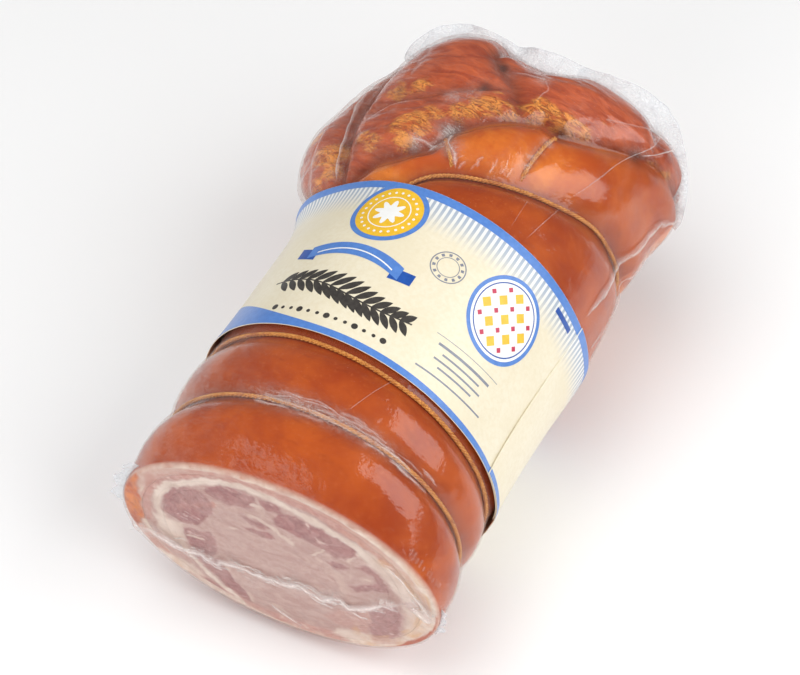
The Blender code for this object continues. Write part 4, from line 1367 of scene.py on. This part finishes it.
def ridge_grid(path, normals, width, height, seed, haze):
    """A low fold of film along a path, and how milky it is: its height across the path is the height times
    (1 - t²), uneven by noise."""
    side = unit(np.cross(unit(np.gradient(path, axis=0)), normals))
    place = np.linspace(0, 1, len(path))
    ends = np.minimum(place, 1 - place) * 8
    taper = ease(ends) * 0.8 + 0.2
    uneven = 0.75 + 0.45 * noise(path, 6, seed)
    t = np.linspace(-1, 1, 9 if width > 1.2 else 5)
    wide = (width * taper * uneven)[:, None] * t
    tall = (height * taper * uneven)[:, None] * (1 - t**2)
    points = path[:, None, :] + side[:, None, :] * wide[..., None] + normals[:, None, :] * tall[..., None]
    profile = haze * (0.45 + 0.55 * np.exp(-((t / 0.3) ** 2))) * (1 - t**4)
    shares = np.broadcast_to(profile, wide.shape) * taper[:, None]
    return points, shares


def film_surface(angle, along):
    """Point of the film on the roll and the direction out of it, by angle and distance along."""
    row = row_at(angle, along)
    smooth, normal, bulge, pressed, _ = skin_sheet(angle, row)
    return smooth + normal * film_height(angle, row, smooth, bulge, pressed)[..., None], normal


def path_on_film(pairs, step, wobble, seed):
    """A path on the film through pairs of angle and distance along, at even steps, with small wobbles."""
    lengths = lengths_along(on_roll(pairs))
    where = np.arange(0, lengths[-1], step)
    degrees, along = np.array(pairs, float).T
    degrees = np.interp(where, lengths, degrees)
    along = np.interp(where, lengths, along)
    shake = np.stack([where, 0 * where, 0 * where], axis=-1)
    along = along + wobble * noise(shake, 5, seed + 2)
    degrees = degrees + wobble * 0.7 * noise(shake, 5, seed + 5)
    return film_surface(np.radians(degrees), along)


# Ridges of the film on the roll: width, height, haze, wobble and the pairs that each runs through
RIDGES = (
    (3.6, 1.6, 0.75, 0.6, ((148, 126), (148, 120), (146, 109), (142.5, 89), (141.5, 70), (142, 54),
                           (143, 44))),
    (3.2, 2.0, 0.75, 0.8, ((-2, 146), (2, 136), (9, 122), (9, 111), (10.5, 98), (12, 90), (16, 79), (17, 67),
                          (18.5, 56), (21, 44))),
    (1.4, 0.8, 0.5, 0.5, ((150, 150), (152, 120), (150, 90), (151, 60), (156, 36))),
    (0.5, 0.5, 0.55, 0.0, ((37, 164), (42, 128), (46, 102), (49, 88), (51.5, 79))),
    (0.9, 1.0, 0.9, 0.3, ((26, 166), (33, 150), (40, 133))),
    (0.35, 0.35, 0.5, 0.0, ((51.5, 76), (56, 57), (59, 44))),
    (0.35, 0.35, 0.4, 0.0, ((63.5, 66), (64.5, 55), (65.5, 44))),
    (0.35, 0.4, 0.5, 0.0, ((69.5, -66), (74, -81), (78, -94))),
    (1.6, 0.8, 0.7, 0.6, ((92, 62), (93, 68), (97, 73), (98, 84))),
    (1.4, 0.8, 0.6, 0.8, ((104, 66), (101, 72), (106, 72), (112, 71))),
    (0.8, 0.5, 0.35, 0.8, ((96, 137), (90, 138), (84, 138), (80, 130), (80, 120))),
    (0.6, 0.5, 0.3, 0.5, ((60, 132), (50, 142), (42, 152), (34, 158))),
    (0.6, 0.8, 0.7, 0.5, ((4, 60), (6, 44))),
    (0.7, 1.0, 0.8, 0.6, ((-6, 120), (-2, 96), (2, 72), (4, 50))),
    (0.8, 1.0, 0.7, 0.8, ((-60, 160), (-58, 120), (-55, 80), (-52, 44))),
    (0.8, 1.0, 0.7, 0.8, ((-120, 158), (-122, 120), (-126, 80), (-128, 44))),
    (0.6, 0.7, 0.6, 0.6, ((178, 150), (180, 110), (184, 70), (186, 40))),
)

# How many short folds the film has over the first groove, beside the cut, between the links and at the seam
GROOVE_FOLDS, EDGE_FOLDS, LINK_FOLDS, SEAM_FOLDS = 44, 11, 9, 44


def listed_folds():
    """The folds of the film along the listed lines."""
    grids = []
    for k, (width, height, haze, wobble, pairs) in enumerate(RIDGES):
        path, normals = path_on_film(pairs, 1.0, wobble, 200 + k)
        grids.append(ridge_grid(path - normals * 0.1, normals, width, height, 300 + k, haze))
    return grids


def groove_folds(draw):
    """Short crossing folds over the groove of the first tie."""
    grids = []
    for k in range(GROOVE_FOLDS):
        start = draw.uniform(44, 116)
        reach = draw.uniform(6, 16)
        row = -100 + draw.uniform(-4.5, 4.5)
        slope = draw.uniform(-0.2, 0.2)
        pairs = ((start, row), (start - reach / 2, row + slope * 4), (start - reach, row - slope * 3))
        path, normals = path_on_film(pairs, 1.0, 0.5, 400 + k)
        grids.append(ridge_grid(path, normals, draw.uniform(0.5, 1.2), draw.uniform(0.1, 0.35), 500 + k,
                                draw.uniform(0.25, 0.55)))
    return grids


def edge_folds(draw):
    """Short folds along the roll beside the cut, one after another round its right side."""
    grids = []
    for k in range(EDGE_FOLDS):
        start = 38 - 2.3 * k + draw.uniform(-0.5, 0.5)
        row = -130.8 + 0.1 * k + draw.uniform(-0.5, 0.5)
        length = draw.uniform(3.0, 4.6) * (1 - 0.04 * k)
        pairs = ((start, row), (start - 0.4, row + length))
        path, normals = path_on_film(pairs, 0.5, 0.0, 600 + k)
        grids.append(ridge_grid(path, normals, 1.3, 0.5, 700 + k, draw.uniform(0.12, 0.2)))
    return grids


def link_folds(draw):
    """Short folds that run from the third tie between the two links."""
    grids = []
    for k in range(LINK_FOLDS):
        degrees = 70.5 + 2.7 * k + draw.uniform(-1.3, 1.3)
        start = slanted(math.radians(degrees), 63.0 + draw.uniform(-0.8, 1.5))
        length = draw.uniform(2.5, 8.0)
        pairs = ((degrees, start), (degrees + draw.uniform(-0.6, 1.0), start + length / 2),
                 (degrees - draw.uniform(-1.0, 1.8), start + length))
        path, normals = path_on_film(pairs, 0.5, 0.5, 620 + k)
        grids.append(ridge_grid(path, normals, draw.uniform(0.7, 1.5), 0.5, 720 + k, draw.uniform(0.15, 0.4)))
    return grids


def cut_folds(draw):
    """Folds on the cut face: its seam and creases, and short ones that lie about the seam."""
    folds = [(CUT_SEAM, 3.2, 0.8), (CUT_CREASES[1], 4.0, 1.2), *((path, 1.6, 0.7) for path in CUT_CREASES)]
    grids = [cut_ridge(path, width, tall, 800 + k) for k, (path, width, tall) in enumerate(folds)]
    for k in range(SEAM_FOLDS):
        x = draw.uniform(-78, 66)
        z = np.interp(x, *np.array(sorted(CUT_SEAM), float).T) + draw.uniform(-5, 5)
        turn = draw.uniform(-0.9, 0.9)
        reach = draw.uniform(4, 10)
        path = ((x, z), (x + reach * 0.5, z + reach * 0.5 * turn), (x + reach, z + reach * turn * 0.4))
        grids.append(cut_ridge(path, draw.uniform(0.6, 1.5), draw.uniform(0.2, 0.5), 850 + k))
    return grids


def make_ridges():
    """The film's sharper folds: along the listed lines, over the first groove, beside the cut, between the
    links, and on the cut face."""
    draw = np.random.default_rng(7)
    grids = [*listed_folds(), *groove_folds(draw), *edge_folds(draw), *link_folds(draw), *cut_folds(draw)]
    points = np.concatenate([grid.reshape(-1, 3) for grid, _ in grids])
    haze = np.concatenate([shares.ravel() for _, shares in grids])
    firsts = np.cumsum([0] + [grid.shape[0] * grid.shape[1] for grid, _ in grids])
    faces = np.concatenate([grid_faces(*grid.shape[:2], first=first)
                            for (grid, _), first in zip(grids, firsts)])
    creased = film_finish("film_fold", 0.0, 0.9, 260, 0.4, srgb(252, 242, 238), 0.4, 0.3, 0.0003)
    make_piece("film_folds", points, faces, creased, values={"haze": haze}, closed=False)


def cut_ridge(pairs, width, tall, seed):
    """A fold of film on the cut face along pairs of X and Z, jagged by noise."""
    corners = np.array(pairs, float)
    lengths = lengths_along(corners)
    where = np.arange(0, lengths[-1], 0.8)
    x = np.interp(where, lengths, corners[:, 0])
    z = np.interp(where, lengths, corners[:, 1])
    shake = np.stack([where, 0 * where, 0 * where], axis=-1)
    z = z + 0.6 * noise(shake, 3.5, seed)
    path = np.stack([x, 0 * x + CUT_Y, z], axis=-1)
    skew = STATION_SKEW[0] * (x - FACE_X)
    path[:, 1] += skew - 1.3 - face_relief(path) - film_crumple(path)
    normals = np.broadcast_to(np.array([0.0995, -0.995, 0.0]), path.shape)
    return ridge_grid(path, normals, width, tall, seed + 1, 1.0)


# Seals of the film that stand out, as in the solids: the far one, the ear at the cut and the small fold
FAR_SEAL = ((150.0, 150.0), (137.0, 157.0), (122.0, 167.0), (109.0, 172.0), (95.0, 170.0), (81.0, 176.0),
            (62.0, 173.0), (44.0, 170.0), (26.0, 164.0), (10.0, 150.0), (-4.0, 138.0))
NEAR_SEAL = ((152.0, -131.0), (165.0, -131.5), (180.0, -131.5), (196.0, -131.0))
NEAR_FOLD = ((4.0, -131.0), (-3.0, -131.5), (-10.0, -131.5), (-18.0, -131.0))
LEAF_GAP = 0.45


def make_leaf(name, node, pairs, height, swell, waves, seed):
    """A thin wavy leaf of film: rise and lean are sums of sines along its path, and noise crumples it."""
    pairs = np.array(pairs)
    share = np.linspace(0, len(pairs) - 1, 40 * len(pairs))
    angle = np.radians(follow(range(len(pairs)), pairs[:, 0], share))
    along = follow(range(len(pairs)), pairs[:, 1], share)
    smooth = plain_point(angle, along)
    normal = outward(angle, along)
    base = np.maximum(lobes(smooth), 0) + LEAF_GAP
    root = lobes(smooth) + creases(smooth)
    foot = smooth + normal * root[:, None]
    across = np.cross(unit(np.gradient(foot, axis=0)), normal)
    turn = share / (len(pairs) - 1) * 2 * math.pi
    rise = height * (0.75 + 0.25 * np.sin(3.1 * turn)) + swell * np.sin(1.7 * turn + 0.6)
    rise = np.maximum(rise * np.sin(turn / 2) ** 0.35, 1.0)
    rise = rise * (1 + 0.06 * noise(foot, 4, seed)) + base - root
    lean = waves * (1.6 * np.sin(5.3 * turn + 0.4) + 0.8 * np.sin(11 * turn))
    level = np.linspace(0, 1, 16)[:, None]
    grid = foot + normal * (rise * level)[..., None] + across * (lean * level**1.5)[..., None]
    crumple = 0.9 * level * fractal(grid * np.array([1.0, 1.0, 0.5]), 6, seed + 3)
    grid = grid + across * crumple[..., None]
    # The last term is a painted highlight: the haze rises to full along the leaf's free edge
    haze = 0.35 + 0.65 * ridged(grid, 7, seed + 5, 4.0) + 0.5 * ease((level - 0.9) / 0.1)
    haze = np.clip(haze * np.ones(grid.shape[:-1]), 0, 1)
    half = across * 0.08
    points = np.concatenate([(grid + half).reshape(-1, 3), (grid - half).reshape(-1, 3)])
    make_piece(name, points, sheet_faces(*grid.shape[:2]), SEAL, [node],
               {"haze": np.concatenate([haze.ravel(), haze.ravel()])})


def make_seals():
    """The three leaves of film that stand out from the meat."""
    make_leaf("film_fin_far", "film_seal_far", FAR_SEAL, height=8.5, swell=4.0, waves=1.0, seed=901)
    make_leaf("film_ear_near", "film_seal_near", NEAR_SEAL, height=7.5, swell=1.0, waves=0.3, seed=911)
    make_leaf("film_tuck_near", "film_fold_near", NEAR_FOLD, height=3.5, swell=0.5, waves=0.2, seed=921)


FLOOR_SIZE = 8.0
LIT_POINT = Vector((0, 0, 0.07))


def make_floor():
    """A plain pale floor, far larger than the roll."""
    bpy.ops.mesh.primitive_plane_add(size=FLOOR_SIZE)
    floor = bpy.context.active_object
    floor.name = "floor"
    f = Finish("floor")
    f.put(Base_Color=(0.99, 0.99, 0.99), Roughness=0.75, Specular_IOR_Level=0.2)
    floor.data.materials.append(f.material)


# The lamps: name, place, width and height in metres, power in watts, and whether it shows in glossy surfaces
LAMPS = (
    ("soft_box_right", (0.92, 0.06, 0.90), (1.45, 0.95), 11.6, True),
    ("key_above_left", (-0.62, -0.45, 1.90), (2.0, 2.0), 27.0, False),
    ("fill_front", (0.0, -1.50, 0.70), (1.2, 1.2), 8.5, False),
    ("fill_right", (1.40, -0.55, 0.60), (1.2, 1.2), 0.8, False),
    ("sheen_front_left", (-0.36, -1.32, 0.70), (0.85, 0.16), 0.65, True),
)
SKY_STRENGTH = 0.14


def add_light(name, place, size, power, mirrored):
    """A soft rectangular lamp that faces the roll's middle; only a mirrored one shows in glossy surfaces."""
    data = bpy.data.lights.new(name, "AREA")
    data.shape = "RECTANGLE"
    data.size, data.size_y = size
    data.energy = power
    item = bpy.data.objects.new(name, data)
    bpy.context.scene.collection.objects.link(item)
    item.location = place
    item.visible_glossy = mirrored
    item.rotation_mode = "QUATERNION"
    item.rotation_quaternion = (LIT_POINT - Vector(place)).to_track_quat("-Z", "Y")


def make_lights():
    """A long soft box to the right for the gloss, a wide key above on the left, fills in front and to the
    right, a low strip in front for a sheen, and a pale sky."""
    for name, place, size, power, mirrored in LAMPS:
        add_light(name, place, size, power, mirrored)
    world = bpy.data.worlds.new("sky")
    bpy.context.scene.world = world
    world.use_nodes = True
    sky = world.node_tree.nodes["Background"]
    sky.inputs["Color"].default_value = (1.0, 1.0, 1.0, 1.0)
    sky.inputs["Strength"].default_value = SKY_STRENGTH


# The camera's angle round the roll and above the horizon, its distance, what it looks at and its lens
VIEW_AZIMUTH = 30.4
VIEW_ELEVATION = 51.0
VIEW_DISTANCE = 1.3
VIEW_TARGET = (-0.00453, -0.00792, 0.075)
VIEW_LENS = 112.5
VIEW_SENSOR = 36.0


def make_camera():
    """The camera at the photograph's viewing angle."""
    azimuth, elevation = math.radians(VIEW_AZIMUTH), math.radians(VIEW_ELEVATION)
    back = Vector((math.sin(azimuth) * math.cos(elevation), -math.cos(azimuth) * math.cos(elevation),
                   math.sin(elevation)))
    data = bpy.data.cameras.new("camera")
    data.lens = VIEW_LENS
    data.sensor_width = VIEW_SENSOR
    camera = bpy.data.objects.new("camera", data)
    bpy.context.scene.collection.objects.link(camera)
    camera.location = Vector(VIEW_TARGET) + back * VIEW_DISTANCE
    camera.rotation_mode = "QUATERNION"
    camera.rotation_quaternion = (-back).to_track_quat("-Z", "Y")
    bpy.context.scene.camera = camera


TWINE = twine_finish()
PAPER = paper_finish()
SEAL = film_finish("film_seal", 0.16, 0.75, 220, 0.3, srgb(240, 243, 247), 0.25)

make_camera()
make_lights()
make_floor()
make_rind()
make_layer("belly_lean", "cut_lean", "seam_fat", 14)
make_layer("seam_fat", "cut_fat", "loin_core", 18)
make_loin("cut_loin")
make_ties()
make_links()
make_band()
make_print()
make_film()
make_ridges()
make_seals()
bpy.context.scene.view_settings.view_transform = "Standard"
